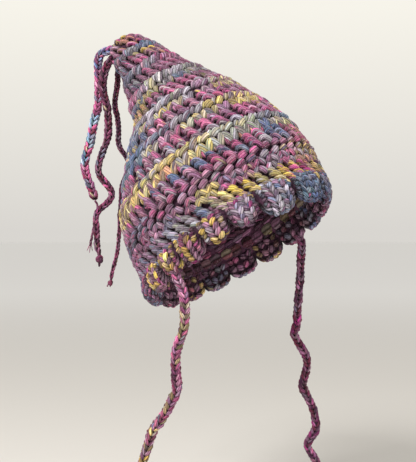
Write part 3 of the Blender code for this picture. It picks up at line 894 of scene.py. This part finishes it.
def post(wool, phi, dphi, width, low, high, top, bottom, lean=0.40, wraps=3,
         half=None, proud=0.0, drop=9.4, arch=1.3, radius=3.4, plies=8):
    """A tall stitch: yarn lapped over itself.  Each lap leaves level on the
    left, comes over the top and runs down steeply on the right."""
    h = high - low
    mid = (high + low) / 2
    small = min(1.0, width / 12.2)       # the peak's stitches are smaller
    drop, radius = drop * small, radius * max(0.78, small)
    half = (half if half is not None else width * 0.365) * (1.0 + RNG.normal(0, 0.06))
    pitch = (h - 6.5) / max(wraps - 1, 1) * 0.94
    off = jig()
    for i in range(wraps):
        y = h / 2 - 1.9 - pitch * i + RNG.normal(0, 0.25)
        x = -lean * (y + 1.2) - half * 0.05
        fall = min(drop, y + h / 2 + 3.6) * (1.0 + RNG.normal(0, 0.05))
        r = radius * (1.0 + RNG.normal(0, 0.05))
        path = smooth_path([
            (x - 1.06 * half, y - 1.2 * arch, -6.4), (x - 0.82 * half, y - 0.2 * arch, -3.8),
            (x - 0.40 * half, y + 0.7 * arch, -2.3), (x + 0.08 * half, y - fall * 0.06, -1.8),
            (x + 0.52 * half, y - fall * 0.38, -2.1), (x + 0.86 * half, y - fall * 0.78, -3.3),
            (x + 1.04 * half, y - fall * 1.05, -6.2)], 9) + off + (0, 0, proud)
        path += RNG.normal(0.0, 0.14, 3)
        letters = top if i < wraps / 2 - 0.01 else bottom
        if wraps == 3 and i == 1:
            letters = top if RNG.random() < 0.5 else bottom
        put(wool, tube(path, r, twist=-0.035 + RNG.normal(0, 0.02), m=2 * plies,
                       phase=RNG.uniform(0, 6.3), flat=0.86, plies=plies, ends=0.6,
                       depth=0.13),
            dyed(letters, 9, plies), phi, dphi, width, mid)


def vee(wool, phi, dphi, width, low, high, letters, peek, proud=0.0):
    """The two strands of a stitch's shoulder, and the one behind them."""
    h = high - low
    mid = (high + low) / 2
    off = jig()
    s = width / 12.5
    for hand in (-1.0, 1.0):
        lift = 0.5 * RNG.random()
        path = smooth_path([
            (hand * 5.0 * s, h * 0.5 + 1.2, -5.4), (hand * 4.7 * s, h * 0.30, -2.4),
            (hand * 3.3 * s, -h * 0.02, -1.5), (hand * 1.9 * s, -h * 0.38, -2.5),
            (hand * 0.9 * s, -h * 0.5 - 1.4, -5.4)], 8) + off + (0.3, 0.0, proud + lift)
        put(wool, tube(path, 3.5 * s * (1.0 + RNG.normal(0, 0.05)), twist=0.07 * hand,
                       phase=RNG.uniform(0, 6.3), flat=0.80, plies=8, m=16, depth=0.13,
                       ends=0.45),
            dyed(letters, 8, 8), phi, dphi, width, mid)
    path = smooth_path([
        (-6.4 * s, h * 0.20, -5.0), (-6.2 * s, -h * 0.16, -3.2),
        (-5.4 * s, -h * 0.50, -2.8), (-4.2 * s, -h * 0.5 - 3.0, -4.8)], 7) + off
    put(wool, tube(path, 2.3 * s, twist=0.12, phase=RNG.uniform(0, 6.3), flat=0.9,
                   plies=6, m=12, depth=0.13),
        dye(peek, plies=6), phi, dphi, width, mid)


def ridge(wool, phi, dphi, width, low, high, letters, slope=1.0, proud=0.0, big=1.0):
    """The chain along a round's top: a fat slanted lump and a small one."""
    h = high - low
    mid = (high + low) / 2
    off = jig(1.3)
    s = width / 12.5
    slope = slope * (1.15 + RNG.normal(0.0, 0.30))
    r = min(h * 0.44, 4.7) * big * (1.0 + RNG.normal(0, 0.09))
    up = RNG.normal(0.0, 0.5)
    path = smooth_path([
        (-3.4 * s, -0.30 * h * slope, -6.6), (-2.6 * s, -0.22 * h * slope, -3.2),
        (0.3 * s, 0.00 * h, -1.7), (3.0 * s, 0.22 * h * slope, -3.1),
        (3.9 * s, 0.32 * h * slope, -6.4)], 9) + off + (1.7 * s, -0.05 * h + up, proud)
    put(wool, tube(path, r, twist=0.06, phase=RNG.uniform(0, 6.3), flat=3.3 / r,
                   plies=8, m=16, ends=0.55, depth=0.13), dyed(letters, 9, 8),
        phi, dphi, width, mid)
    path = smooth_path([
        (-5.7 * s, -0.20 * h, -5.6), (-5.0 * s, -0.02 * h, -2.7),
        (-3.5 * s, 0.22 * h, -2.1), (-2.0 * s, 0.38 * h, -4.8)], 7) + off + (0, 0, proud)
    put(wool, tube(path, r * 0.68, twist=0.09, phase=RNG.uniform(0, 6.3), flat=0.92,
                   plies=6, m=12, ends=0.6, depth=0.13), dye(letters, light=0.03, plies=6),
        phi, dphi, width, mid)


def oval(wool, phi, dphi, width, at, letters, x=0.0, y=0.0, long=13.0, fat=6.5,
         angle=20.0, proud=0.0, dive=3.4, k=8):
    a = math.radians(angle + RNG.normal(0, 3.0))
    t = np.linspace(-1.0, 1.0, k)
    d = t * (long / 2 - fat * 0.22)
    path = np.stack([x + d * math.cos(a), y + d * math.sin(a),
                     -2.6 + proud - dive * np.abs(t) ** 2.6], 1) + jig()
    put(wool, tube(path, fat / 2, twist=0.06, phase=RNG.uniform(0, 6.3), m=16,
                   flat=5.6 / fat, plies=8, ends=0.45, depth=0.13),
        dyed(letters, k, 8), phi, dphi, width, at)


def stitches(count, start):
    """Angles of a round's stitches, evenly set with a little wander."""
    step = 360.0 / count
    k = np.arange(count)
    phi = start + step * k + 0.10 * step * RNG.normal(0, 1, count)
    return phi, step


def mean_width(s, count):
    hw, hd = (float(np.interp(s, TS, TT[:, i])) for i in (1, 2))
    return math.pi * (3 * (hw + hd) - math.sqrt((3 * hw + hd) * (hw + 3 * hd))) / count


# Dye runs.  Each row says up to which angle the letters hold.
R1_POSTS = ((20, "mup", "pu"), (38, "Myp", "pcm"), (60, "YYc", "McM"), (95, "YmM", "mcM"),
            (125, "syy", "pcu"), (160, "ucp", "cpu"), (240, "umd", "um"), (330, "upk", "um"))
R1_CAP = ((40, "udm"), (100, "dud"), (200, "ddu"), (330, "udm"))
R2_RIDGE = ((28, "upk"), (58, "bbkt"), (105, "kkrlt"), (160, "kru"), (240, "kkb"), (330, "uku"))
R2_POSTS = ((22, "upu", "um"), (46, "Yyc", "mcu"), (64, "YYc", "mmu"), (82, "sys", "mu"),
            (102, "mpu", "mu"), (160, "ukl", "kru"), (250, "mup", "um"), (330, "umu", "up"))
R3_RIDGE = ((45, "umu"), (100, "kulru"), (160, "kku"), (240, "uul"), (330, "umu"))
R3_POSTS = ((25, "ump", "mp"), (60, "upm", "mup"), (85, "pmmu", "pmu"), (100, "upu", "up"),
            (125, "rku", "kud"), (160, "mup", "um"), (240, "pul", "rku"), (330, "ump", "up"))
R4_RIDGE = ((10, "upg"), (30, "rsg"), (50, "wrsl"), (68, "wlr"), (80, "ysg"), (96, "sgl"),
            (112, "mlp"), (160, "mpk"), (240, "rlg"), (330, "gsr"))
R4_VEE = ((35, "rsgl"), (46, "grk"), (60, "bkt"), (85, "sgr"), (100, "syg"), (125, "yyb"),
          (160, "bku"), (240, "sgy"), (330, "rgl"))
R4_POSTS = ((20, "mpu", "mpl"), (44, "mpu", "sps"), (62, "mmp", "mpl"), (78, "mmw", "mmp"),
            (100, "mpu", "mlk"), (125, "yyc", "ycs"), (160, "ycs", "csp"), (240, "pum", "kul"),
            (330, "mmp", "pul"))
R5_RIDGE = ((16, "yus"), (33, "yusr"), (41, "uru"), (50, "yys"), (58, "rlr"), (70, "yrg"),
            (90, "rlk"), (108, "rlw"), (135, "rkl"), (160, "kbr"), (240, "kru"), (330, "syr"))
R5_VEE = ((14, "yus"), (34, "yyu"), (46, "yudr"), (58, "rur"), (68, "usr"), (78, "yrs"),
          (92, "sly"), (108, "rlk"), (145, "bbk"), (160, "kyk"), (240, "umk"), (330, "yus"))
R5_POSTS = ((20, "uyu", "um"), (42, "umu", "um"), (60, "pum", "upm"), (76, "pmu", "pu"),
            (86, "mmc", "mp"), (97, "cmb", "cpm"), (130, "bbk", "ybk"), (160, "bky", "cs"),
            (240, "mum", "up"), (330, "uum", "um"))
R6_RIDGE = ((14, "ysu"), (26, "yyu"), (38, "yyyr"), (43, "rur"), (49, "yyr"), (58, "rrk"),
            (70, "kkbr"), (84, "rlwp"), (104, "kkrd"), (128, "kbt"), (160, "kuu"),
            (240, "ukr"), (330, "yus"))
R6_VEE = ((4, "um"), (24, "yyy"), (38, "yyr"), (45, "uru"), (55, "ysr"), (64, "yyg"),
          (75, "ysc"), (86, "pru"), (102, "krs"), (135, "tbk"), (160, "kuk"), (240, "umk"),
          (330, "yyu"))
R6_POSTS = ((6, "yum", "um"), (20, "um", "um"), (34, "up", "um"), (42, "mu", "lk"),
            (52, "urm", "rlm"), (60, "mmu", "upl"), (68, "pm", "mwm"), (76, "mp", "mrm"),
            (86, "mp", "lwm"), (98, "pmu", "ulm"), (112, "mu", "mk"), (135, "mp", "mu"),
            (160, "ku", "um"), (240, "mup", "um"), (330, "um", "yum"))
R7_RIDGE = ((7, "tbk"), (16, "rgr"), (28, "rglk"), (42, "gsr"), (50, "swg"), (58, "swl"),
            (66, "sysl"), (92, "yys"), (108, "ykyr"), (160, "yysu"), (240, "syu"), (330, "rkg"))
R7_VEE = ((4, "mtyt"), (24, "rgs"), (33, "btbk"), (42, "ggr"), (50, "grl"), (58, "gsl"),
          (66, "gsy"), (76, "slsy"), (92, "yycs"), (160, "yyus"), (240, "yuk"), (330, "gkr"))
R7_PEEK = ((62, "mmc"), (92, "mmu"), (160, "uyu"), (330, "mup"))
R7_POSTS = ((5, "mpc", "myp"), (14, "bkt", "sru"), (22, "bkb", "bku"), (29, "mmr", "rlm"),
            (41, "mmu", "bmk"), (53, "mmu", "bku"), (60, "bbu", "mm"), (69, "kbb", "mpu"),
            (76, "bbu", "upm"), (83, "bbk", "mpu"), (90, "mmt", "tbu"), (98, "ubr", "pmr"),
            (108, "um", "mpu"), (126, "mum", "ump"), (160, "yus", "umu"), (240, "kum", "um"),
            (330, "mub", "um"))
R8_ONE = ((20, "mcpy"), (36, "umm"), (54, "mmup"), (62, "pmp"), (72, "lpu"), (84, "ump"),
          (100, "pmu"), (118, "muk"), (160, "kum"), (330, "ump"))
R8_TWO = ((24, "lypm"), (40, "plm"), (50, "pul"), (60, "plu"), (90, "upl"), (160, "umku"),
          (330, "ulp"))
R8_VEE = ((10, "lypc"), (24, "umyl"), (36, "mul"), (46, "mpyu"), (54, "lprk"), (62, "mupk"),
          (70, "mmu"), (73.5, "yys"), (88, "upmu"), (100, "kup"), (118, "kuup"), (160, "umu"),
          (330, "ump"))
R9_RUNS = ((-5, "yuk"), (8, "ycm"), (20, "mMY"), (28, "YYm"), (40, "yyr"), (52, "Yys"),
           (60, "YYy"), (65, "yss"), (69, "ssg"), (74, "rsg"), (80, "bkr"), (86, "rrg"),
           (92, "rgrl"), (105, "kkl"), (122, "kru"), (160, "kuu"), (240, "ubk"), (330, "kuy"))


def tall_round(wool, count, start, top, ridge_low, vee_low, low, ridge_runs, vee_runs,
               post_runs, peek="mmpu", wraps=3, proud=0.0):
    lt, lr, lv, ll = (float(length_at(x)) for x in (top, ridge_low, vee_low, low))
    width = mean_width((top + low) / 2, count)
    phis, step = stitches(count, start)
    for phi in phis:
        c1, c2 = run_at(post_runs, phi)
        post(wool, phi - 0.10 * step, step, width, ll - 0.8, lv + 1.2, c1, c2,
             wraps=wraps, proud=proud)
        if vee_low < ridge_low:
            pk = run_at(peek, phi)[0] if not isinstance(peek, str) else peek
            vee(wool, phi + 0.06 * step, step, width, lv, lr,
                run_at(vee_runs, phi)[0], pk, proud)
        ridge(wool, phi, step, width, lr, lt, run_at(ridge_runs, phi)[0],
              proud=proud + 0.6)


def lining(wool, count, start, low, high, letters):
    """The plain inner face: one row of flat strands for each round."""
    phis, step = stitches(count, start)
    for phi in phis:
        s = (low + high) / 2
        width = mean_width(s, count)
        h = float(length_at(high) - length_at(low))
        rows = max(1, round(h / 8.6))
        for r in range(rows):
            y = h * ((r + 0.5) / rows - 0.5)
            t = np.linspace(-1.0, 1.0, 6)
            slope = 2.0 if r % 2 else -1.5
            shift = 0.5 * width * (r % 2)
            path = np.stack([t * width * 0.47 + shift, y + t * slope,
                             -7.0 + 0.9 * np.abs(t) ** 3], 1) + jig(0.6)
            put(wool, tube(path, h / rows * 0.58, twist=0.05, phase=RNG.uniform(0, 6.3),
                           m=8, flat=2.0 / (h / rows * 0.58), depth=0.20, ends=0.58,
                           ref=(0, 0, -1), plies=4),
                dye(letters, plies=4), phi, step, width, float(length_at(s)))


def own(wool, name, node, material, slot):
    obj = wool.build(name, material)
    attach(obj, "root")
    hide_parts(node)
    print(name, "strands", wool.strands, "triangles", wool.triangles())
    return obj


def make_crown():
    peak = Wool(gain=1.04)
    # the closed tip
    lt = float(length_at(TIP))
    for i in range(4):
        oval(peak, 90.0 * i + 20.0, 90.0, 10.0, lt - 3.4, "udm", long=8.0, fat=5.4,
             angle=15.0, dive=1.0, proud=0.2)
    for i in range(7):
        phi = 360.0 / 7 * i
        c = run_at(R1_CAP, phi)[0]
        post(peak, phi, 360.0 / 7, 10.6, lt - 15.5, lt - 5.0, c, c, wraps=2,
             half=4.6, drop=6.0)
    phis, step = stitches(12, 8.0)
    for phi in phis:
        c1, c2 = run_at(R1_POSTS, phi)
        post(peak, phi, step, 9.6, float(length_at(240.0)), lt - 14.0, c1, c2, wraps=3)
    peak.gain = 0.89
    tall_round(peak, 18, 3.0, 241.0, 229.0, 229.0, 214.4, R2_RIDGE, None, R2_POSTS, wraps=3)
    tall_round(peak, 23, 9.0, 214.4, 201.0, 201.0, 186.5, R3_RIDGE, None, R3_POSTS, wraps=3)
    peak.gain = 0.92
    tall_round(peak, 31, 2.0, 186.5, 173.2, 164.6, 149.0, R4_RIDGE, R4_VEE, R4_POSTS)
    own(peak, "crown_peak", "crown_shell", WOOL, "crown_wool")

    upper = Wool()
    tall_round(upper, 36, 5.0, 149.0, 138.4, 128.6, 117.0, R5_RIDGE, R5_VEE, R5_POSTS,
               wraps=2)
    tall_round(upper, 40, 1.0, 117.0, 105.0, 94.7, 77.7, R6_RIDGE, R6_VEE, R6_POSTS)
    own(upper, "crown_upper", "crown_shell", WOOL, "crown_wool")

    middle = Wool()
    tall_round(middle, 47, 6.0, 77.7, 68.4, 55.6, 39.7, R7_RIDGE, R7_VEE, R7_POSTS,
               peek=R7_PEEK)
    own(middle, "crown_middle", "crown_shell", WOOL, "crown_wool")

    lower = Wool(gain=0.93)
    phis, step = stitches(50, 2.0)
    width = mean_width(24.0, 50)
    l39, l30, l22, l9 = (float(length_at(x)) for x in (39.7, 31.0, 23.0, 9.3))
    for phi in phis:
        oval(lower, phi, step, width, (l39 + l30) / 2 + 0.3, run_at(R8_ONE, phi)[0],
             long=14.5, fat=8.2, angle=24.0, proud=0.7, dive=3.0)
        oval(lower, phi + step * 0.5, step, width, (l30 + l22) / 2 + 0.4,
             run_at(R8_TWO, phi)[0], long=14.5, fat=7.8, angle=30.0, proud=1.0, dive=3.0)
        letters = run_at(R8_VEE, phi)[0]
        h = (l22 - l9) / 2
        for q, at in enumerate((l22 - h / 2 + 0.5, l9 + h / 2 - 0.2)):
            for hand in (-1.0, 1.0):
                oval(lower, phi + step * (0.25 * hand + 0.25 * q + 0.1), step, width, at,
                     letters, long=12.6, fat=7.2, angle=90.0 - 38.0 * hand,
                     proud=0.9 if hand < 0 else 0.3, dive=3.0, y=0.4 * hand)
    lower.gain = 0.97
    phis, step = stitches(50, 5.0)
    width = mean_width(2.0, 50)
    zero = float(length_at(0.0))
    for phi in phis:
        c = run_at(R9_RUNS, phi, 2.0)[0]
        off = jig()
        # a sausage of fat laps, leaning down to the right
        for q, y in enumerate((7.6, 2.2, -3.4, -8.6)):
            x = -0.60 * (y + 0.6)
            big = (0.92, 1.05, 1.05, 0.92)[q] * (1.0 + RNG.normal(0, 0.05))
            reach = 5.2 * big
            path = smooth_path([
                (x - reach * 0.98, y + 1.4, -6.4), (x - reach * 0.74, y + 2.1, -3.2),
                (x - reach * 0.1, y + 1.3, -1.2), (x + reach * 0.55, y - 1.0, -1.9),
                (x + reach * 0.95, y - 3.0, -5.6)], 8) + off
            path += RNG.normal(0.0, 0.22, 3)
            put(lower, tube(path, 3.45 * big, twist=0.05, phase=RNG.uniform(0, 6.3), m=16,
                            flat=0.90, plies=8, depth=0.13, ends=0.5),
                dyed(c, 8, 8), phi, step, width, zero)
    own(lower, "crown_lower", "crown_shell", WOOL, "crown_wool")

    inner = Wool(inner=True)
    for count, start, low, high, letters in (
            (50, 0, -3, 9.3, "nuon"), (50, 3, 9.3, 39.7, "umud"), (47, 2, 39.7, 77.7, "ukmu"),
            (40, 0, 77.7, 117.0, "umrd"), (36, 4, 117.0, 149.0, "kumu"),
            (31, 0, 149.0, 186.5, "umpu"), (23, 0, 186.5, 214.4, "udu"),
            (16, 0, 214.4, 236.0, "udm")):
        lining(inner, count, start, low, high, letters)
    own(inner, "crown_lining", "crown_shell", WOOL, "crown_wool")

    # between the two faces: a very dark wall behind the outer stitches, and a dim one in the
    # lining's hue behind the inner ones, both painted shade seen through the gaps
    crown_wall("crown_core", 5.3, 261.0, 6.1, 250.0, GAP_SHADE_WOOL, 0.5)
    crown_wall("crown_inner_core", 6.2, 240.0, 6.9, 232.0, LINING_GAP_SHADE, 0.0)


def crown_wall(name, near, near_top, far, far_top, material, ripple):
    """A closed cap-shaped wall between two depths below the crown's face."""
    around, rows = 84, 46
    phi = np.arange(around) * 360.0 / around
    faces = []
    for deep, top, wave in ((near, near_top, ripple), (far, far_top, 0.0)):
        g, f = np.meshgrid(np.linspace(-11.0, top, rows), phi, indexing="ij")
        p, n = surf(g, f)
        faces.append(p - n * (deep + wave * np.sin(np.radians(f) * 21.0 + g * 0.35)[..., None]))
    rings = np.concatenate([faces[1][::-1], faces[0]])
    total = len(rings)
    first = faces[1][-1].mean(0)[None]
    last = faces[0][-1].mean(0)[None] + EA * 1.0
    co = np.concatenate([rings.reshape(-1, 3), first, last]) * MM
    i, j = np.meshgrid(np.arange(total - 1), np.arange(around), indexing="ij")
    i, j = i.ravel(), j.ravel()
    j1 = (j + 1) % around
    quads = np.stack([i * around + j, (i + 1) * around + j, (i + 1) * around + j1,
                      i * around + j1], 1)
    jj = np.arange(around)
    tris = np.concatenate([
        np.stack([jj, (jj + 1) % around, np.full(around, total * around)], 1),
        np.stack([(total - 1) * around + (jj + 1) % around, (total - 1) * around + jj,
                  np.full(around, total * around + 1)], 1)])
    vol = np.einsum("ij,ij->", co[quads[:, 0]], np.cross(co[quads[:, 1]], co[quads[:, 2]]))
    if vol < 0:
        quads, tris = quads[:, ::-1], tris[:, ::-1]
    obj = make_mesh(name, co, quads, tris, material)
    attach(obj, "root")
    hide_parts("crown_shell")


make_crown()

# --------------------------------------------------------- scalloped edge --
SCALLOPS = (
    # angle   drop  thick  flare  dyes: fan, contour
    (14.0,    36.0, 18.0,  -3.0, "bkbtb", "bbk"),
    (41.0,    38.0, 19.0,   0.0, "lklbul", "klbk"),
    (60.0,    32.0, 19.0,   1.0, "ulkMlp", "Mudku"),
    (77.0,    33.0, 19.0,   2.0, "YulMyu", "yuMdY"),
    (93.0,    36.0, 19.0,   2.0, "YudMYm", "yudMu"),
    (108.5,   32.0, 18.0,   0.0, "YMYuum", "YYMu"),
    (124.5,   34.0, 18.0,   0.0, "YuduYM", "yuud"),
    (145.0,   31.0, 18.0,   4.0, "umkbud", "kudu"),
    (166.0,   27.0, 18.0,   5.0, "kubluk", "ukb"),
    (187.0,   29.0, 18.0,   6.0, "umpudy", "umd"),
    (205.5,   29.0, 18.0,   6.0, "yumpyu", "yum"),
    (224.0,   29.0, 18.0,   5.0, "klkugr", "kur"),
    (242.5,   29.0, 17.0,   4.0, "umudp", "umk"),
    (261.0,   30.0, 17.0,   3.0, "yuymu", "yum"),
    (279.5,   30.0, 17.0,   1.0, "umkpu", "udm"),
    (298.0,   31.0, 17.0,  -1.0, "kblku", "kbu"),
    (316.0,   31.0, 17.0,  -7.0, "umdup", "umk"),
    (333.0,   30.0, 17.0,  -7.0, "dkbun", "kdb"),
    (351.0,   31.0, 17.0,  -4.5, "bdkkb", "bkd"),
)
BAND_DROP, BAND_THICK, GAP = 20.0, 10.0, 0.35


def edge_surface(i, u, b, lift=0.0, soft=1.0):
    """The edging's surface: u across scallop i in mm, b round its section."""
    n = len(SCALLOPS)
    here = SCALLOPS[i]
    nxt, prv = SCALLOPS[(i + 1) % n], SCALLOPS[i - 1]
    gap_next = (nxt[0] - here[0]) % 360.0
    gap_prev = (here[0] - prv[0]) % 360.0
    angle = here[0] - u / 1.93                   # about 1.93 mm a degree
    off = angle - here[0]
    half = np.where(off > 0, gap_next / 2, gap_prev / 2)
    p = np.clip(np.abs(off) / half, 0.0, 1.0)
    puff = np.sqrt(np.clip(1.0 - p ** 2.4, 0.0, 1.0)) * soft + (1 - soft)
    drop = BAND_DROP + (here[1] - BAND_DROP) * puff
    thick = BAND_THICK + (here[2] - BAND_THICK) * puff
    flare = np.where(off > 0, here[3] + (nxt[3] - here[3]) * off / gap_next,
                     here[3] + (prv[3] - here[3]) * -off / gap_prev)
    a = np.radians(angle)
    out = -np.cos(a)[..., None] * EB - np.sin(a)[..., None] * EX
    bk, hw, hd = SECTIONS[0, 1:]
    base = ((bk - (hd - 4.5) * np.cos(a))[..., None] * EB
            - ((hw - 4.5) * np.sin(a))[..., None] * EX)
    down = 0.5 - 0.5 * np.cos(b)
    level = GAP + (drop - GAP) * down
    lean = flare * np.sin(down * math.pi / 2)
    o = lean + 0.5 * thick * np.sin(b)
    return base - level[..., None] * EA + o[..., None] * out


def round_half(i):
    """How far it is over scallop i, from its top to its lowest line."""
    return math.pi * math.hypot(SCALLOPS[i][1] / 2, SCALLOPS[i][2] / 2) / math.sqrt(2.0)


def edge_map(i):
    """Bends (right, down the section, outwards) onto scallop i."""
    def place(v):
        u = v[:, 0]
        b = math.pi * v[:, 1] / round_half(i)
        e = 0.15
        p = edge_surface(i, u, b)
        du = edge_surface(i, u + e, b) - edge_surface(i, u - e, b)
        db = edge_surface(i, u, b + 0.03) - edge_surface(i, u, b - 0.03)
        nrm = np.cross(db, du)
        nrm /= np.maximum(np.linalg.norm(nrm, axis=1, keepdims=True), 1e-9)
        return p + nrm * v[:, 2:3]
    return place


def pip(wool, place, x, y, angle, long, fat, letters, m=12, k=7, w=-2.0, dive=2.0,
        light=0.0, shade=painted_depth_shade):
    """A short plump strand lying on a scallop."""
    a = math.radians(angle + RNG.normal(0, 6.0))
    t = np.linspace(-1.0, 1.0, k)
    d = t * (long / 2 - fat * 0.2)
    path = np.stack([x + d * math.cos(a), y + d * math.sin(a),
                     w + RNG.normal(0.0, 0.3) - dive * np.abs(t) ** 2.2], 1)
    path += RNG.normal(0, 0.22, 3)
    plies = m // 2
    # the shade function paints shade into the strand's colour
    wool.add(tube(path, fat / 2, twist=0.08, phase=RNG.uniform(0, 6.3), m=m,
                  flat=5.2 / fat, depth=0.13, ends=0.4, plies=plies),
             dye(letters, own=0.93, stray=0.02, light=light, plies=plies), place, shade)


def make_edge():
    n = len(SCALLOPS)
    for part, chosen in (("right", range(0, 10)), ("left", range(10, n))):
        wool = Wool(gain=0.98)
        for i in chosen:
            angle, drop, thick, flare, fan, rim = SCALLOPS[i]
            wool.gain = 0.90 if 50.0 < angle < 100.0 else 1.0
            place = edge_map(i)
            lo = -1.93 * ((SCALLOPS[(i + 1) % n][0] - angle) % 360.0) / 2
            hi = 1.93 * ((angle - SCALLOPS[i - 1][0]) % 360.0) / 2
            deep = round_half(i)
            # the outer face: legs of V stitches, row under row
            rows = max(5, round((deep - 1.0) / 6.0))
            columns = 2 * max(2, round((hi - lo) / 13.0))

            def shade(v, mid=(lo + hi) / 2, half=(hi - lo) / 2):
                # painted shade: the seam between two scallops and the sunken sides of each pip
                # are darkened, pip crests slightly lifted as painted highlight
                near = np.clip(np.abs(v[:, 0] - mid) / half, 0.0, 1.0)
                lit = 0.20 + 0.90 * np.clip((v[:, 2] + 4.3) / 4.4, 0.0, 1.0) ** 1.15
                return lit * (1.0 - 0.60 * near ** 6)
            for r in range(rows + 1):
                y = 4.6 + (deep - 3.0) * r / rows
                for c in range(columns):
                    x = (lo + hi) / 2 + 0.93 * (hi - lo) * ((c + 0.5) / columns - 0.5)
                    # the rows fan out from the middle of the top
                    spread = (x - (lo + hi) / 2) / (hi - lo)
                    drift = 2.4 * math.cos(math.pi * spread) - 1.2
                    on_rim = r >= rows - 1
                    deep_in = 3.2 * (2.0 * abs(spread)) ** 4
                    pip(wool, place, x + 0.5 * (r % 2) - 0.25, y + drift,
                        (50.0 if c % 2 else 130.0) - 34.0 * spread, 10.4, 6.4,
                        rim if on_rim else fan, w=-1.5 - deep_in, dive=2.9, shade=shade)
            # the face that looks inwards, coarser
            back = max(3, round((deep - 4.0) / 8.0))
            across = max(3, round((hi - lo) / 8.0))
            for r in range(back):
                y = deep + 5.0 + (deep - 9.0) * r / (back - 1)
                for c in range(across):
                    x = lo + (hi - lo) * (c + 0.5) / across
                    pip(wool, place, x, y, 30.0 if (r + c) % 2 else 150.0, 11.4, 8.0,
                        fan[:3] + "nud", m=8, k=6, shade=shade)
        own(wool, "edge_shells_" + part, "scallop_edge", EDGE_WOOL, "edge_wool")

    # the core inside the scallops, coloured dark as painted shade
    rings = []
    for i in range(len(SCALLOPS)):
        n = len(SCALLOPS)
        gap = (SCALLOPS[(i + 1) % n][0] - SCALLOPS[i][0]) % 360.0
        for q in range(12):
            off = gap * q / 12
            k, u = (i, -off * 1.93) if off <= gap / 2 else ((i + 1) % n, (gap - off) * 1.93)
            b = 2 * math.pi * (np.arange(14) + 0.5) / 14
            u = np.full(14, u)
            e = 0.15
            p = edge_surface(k, u, b)
            mid = p.mean(0)
            rings.append(mid + (p - mid) * 0.72 + EA * 1.4)
    rings = np.array(rings)
    r, m = rings.shape[:2]
    co = rings.reshape(-1, 3) * MM
    i, j = np.meshgrid(np.arange(r), np.arange(m), indexing="ij")
    i, j = i.ravel(), j.ravel()
    i1, j1 = (i + 1) % r, (j + 1) % m
    quads = np.stack([i * m + j, i1 * m + j, i1 * m + j1, i * m + j1], 1)
    cen = rings.mean(1)[i] * MM
    if np.einsum("ij,ij->", np.cross(co[quads[:, 1]] - co[quads[:, 0]],
                                     co[quads[:, 2]] - co[quads[:, 0]]),
                 co[quads[:, 0]] - cen) < 0:
        quads = quads[:, ::-1]
    obj = make_mesh("edge_core", co, quads, np.zeros((0, 3), int), GAP_SHADE_WOOL)
    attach(obj, "root")
    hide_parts("scallop_edge")


make_edge()

# ------------------------------------------------------------------- stage --
def make_stage():
    me = bpy.data.meshes.new("floor")
    r, n = 30.0, 64
    ring = [(r * math.cos(2 * math.pi * i / n), r * math.sin(2 * math.pi * i / n), -0.33)
            for i in range(n)]
    me.from_pydata(ring, [], [list(range(n))])
    floor = bpy.data.objects.new("floor", me)
    bpy.context.scene.collection.objects.link(floor)
    mat = bpy.data.materials.new("floor_paint")
    mat.use_nodes = True
    nodes, links = mat.node_tree.nodes, mat.node_tree.links
    bsdf = nodes["Principled BSDF"]
    bsdf.inputs["Roughness"].default_value = 1.0
    bsdf.inputs["Specular IOR Level"].default_value = 0.0
    # painted light: the floor is coloured darker near the object, where the lamps fall, and
    # lighter far off, so that it looks evenly lit and meets the sky at the horizon
    geo = nodes.new("ShaderNodeNewGeometry")
    far = nodes.new("ShaderNodeVectorMath")
    far.operation = "LENGTH"
    links.new(geo.outputs["Position"], far.inputs[0])
    reach = nodes.new("ShaderNodeMapRange")
    reach.interpolation_type = "SMOOTHSTEP"
    reach.inputs["From Min"].default_value = 0.6
    reach.inputs["From Max"].default_value = 5.0
    links.new(far.outputs["Value"], reach.inputs["Value"])
    ramp = nodes.new("ShaderNodeValToRGB")
    ramp.color_ramp.elements[0].color = (0.70, 0.675, 0.64, 1.0)
    ramp.color_ramp.elements[1].color = (0.96, 0.95, 0.94, 1.0)
    links.new(reach.outputs[0], ramp.inputs[0])
    links.new(ramp.outputs[0], bsdf.inputs["Base Color"])
    me.materials.append(mat)

    world = bpy.data.worlds.new("pale_room")
    world.use_nodes = True
    bg = world.node_tree.nodes["Background"]
    bg.inputs["Strength"].default_value = 1.0
    wn, wl = world.node_tree.nodes, world.node_tree.links
    way = wn.new("ShaderNodeTexCoord")
    sep = wn.new("ShaderNodeSeparateXYZ")
    wl.new(way.outputs["Generated"], sep.inputs[0])
    sky = wn.new("ShaderNodeValToRGB")
    sky.color_ramp.interpolation = "LINEAR"
    e = sky.color_ramp.elements
    e[0].position, e[0].color = 0.0, (0.690, 0.668, 0.632, 1.0)
    e[1].position, e[1].color = 0.20, (0.930, 0.905, 0.825, 1.0)
    for at, c in ((0.35, (0.90, 0.88, 0.82, 1.0)), (0.70, (0.60, 0.59, 0.57, 1.0))):
        e.new(at).color = c
    wl.new(sep.outputs[2], sky.inputs[0])
    wl.new(sky.outputs[0], bg.inputs["Color"])
    bpy.context.scene.world = world

    def area(name, way, distance, size, watts, colour=(1, 1, 1)):
        light = bpy.data.lights.new(name, "AREA")
        light.energy = watts
        light.shape = "DISK"
        light.size = size
        light.color = colour
        obj = bpy.data.objects.new(name, light)
        way = np.asarray(way, float)
        way /= np.linalg.norm(way)
        from mathutils import Vector
        obj.location = Vector(way * distance) + Vector((0.0, 0.03, 0.08))
        obj.rotation_euler = Vector(way).to_track_quat("Z", "Y").to_euler()
        bpy.context.scene.collection.objects.link(obj)

    left, near = -ACROSS, -AWAY
    area("key", near * 1.0 + left * 0.75 + UP * 1.05, 1.9, 0.6, 36.0, (1.0, 0.985, 0.96))
    area("fill", near * 0.8 - left * 1.0 + UP * 0.35, 2.2, 1.2, 8.0, (1.0, 0.98, 0.95))


make_stage()
bpy.context.scene.view_settings.view_transform = "Standard"
bpy.context.scene.view_settings.look = "None"
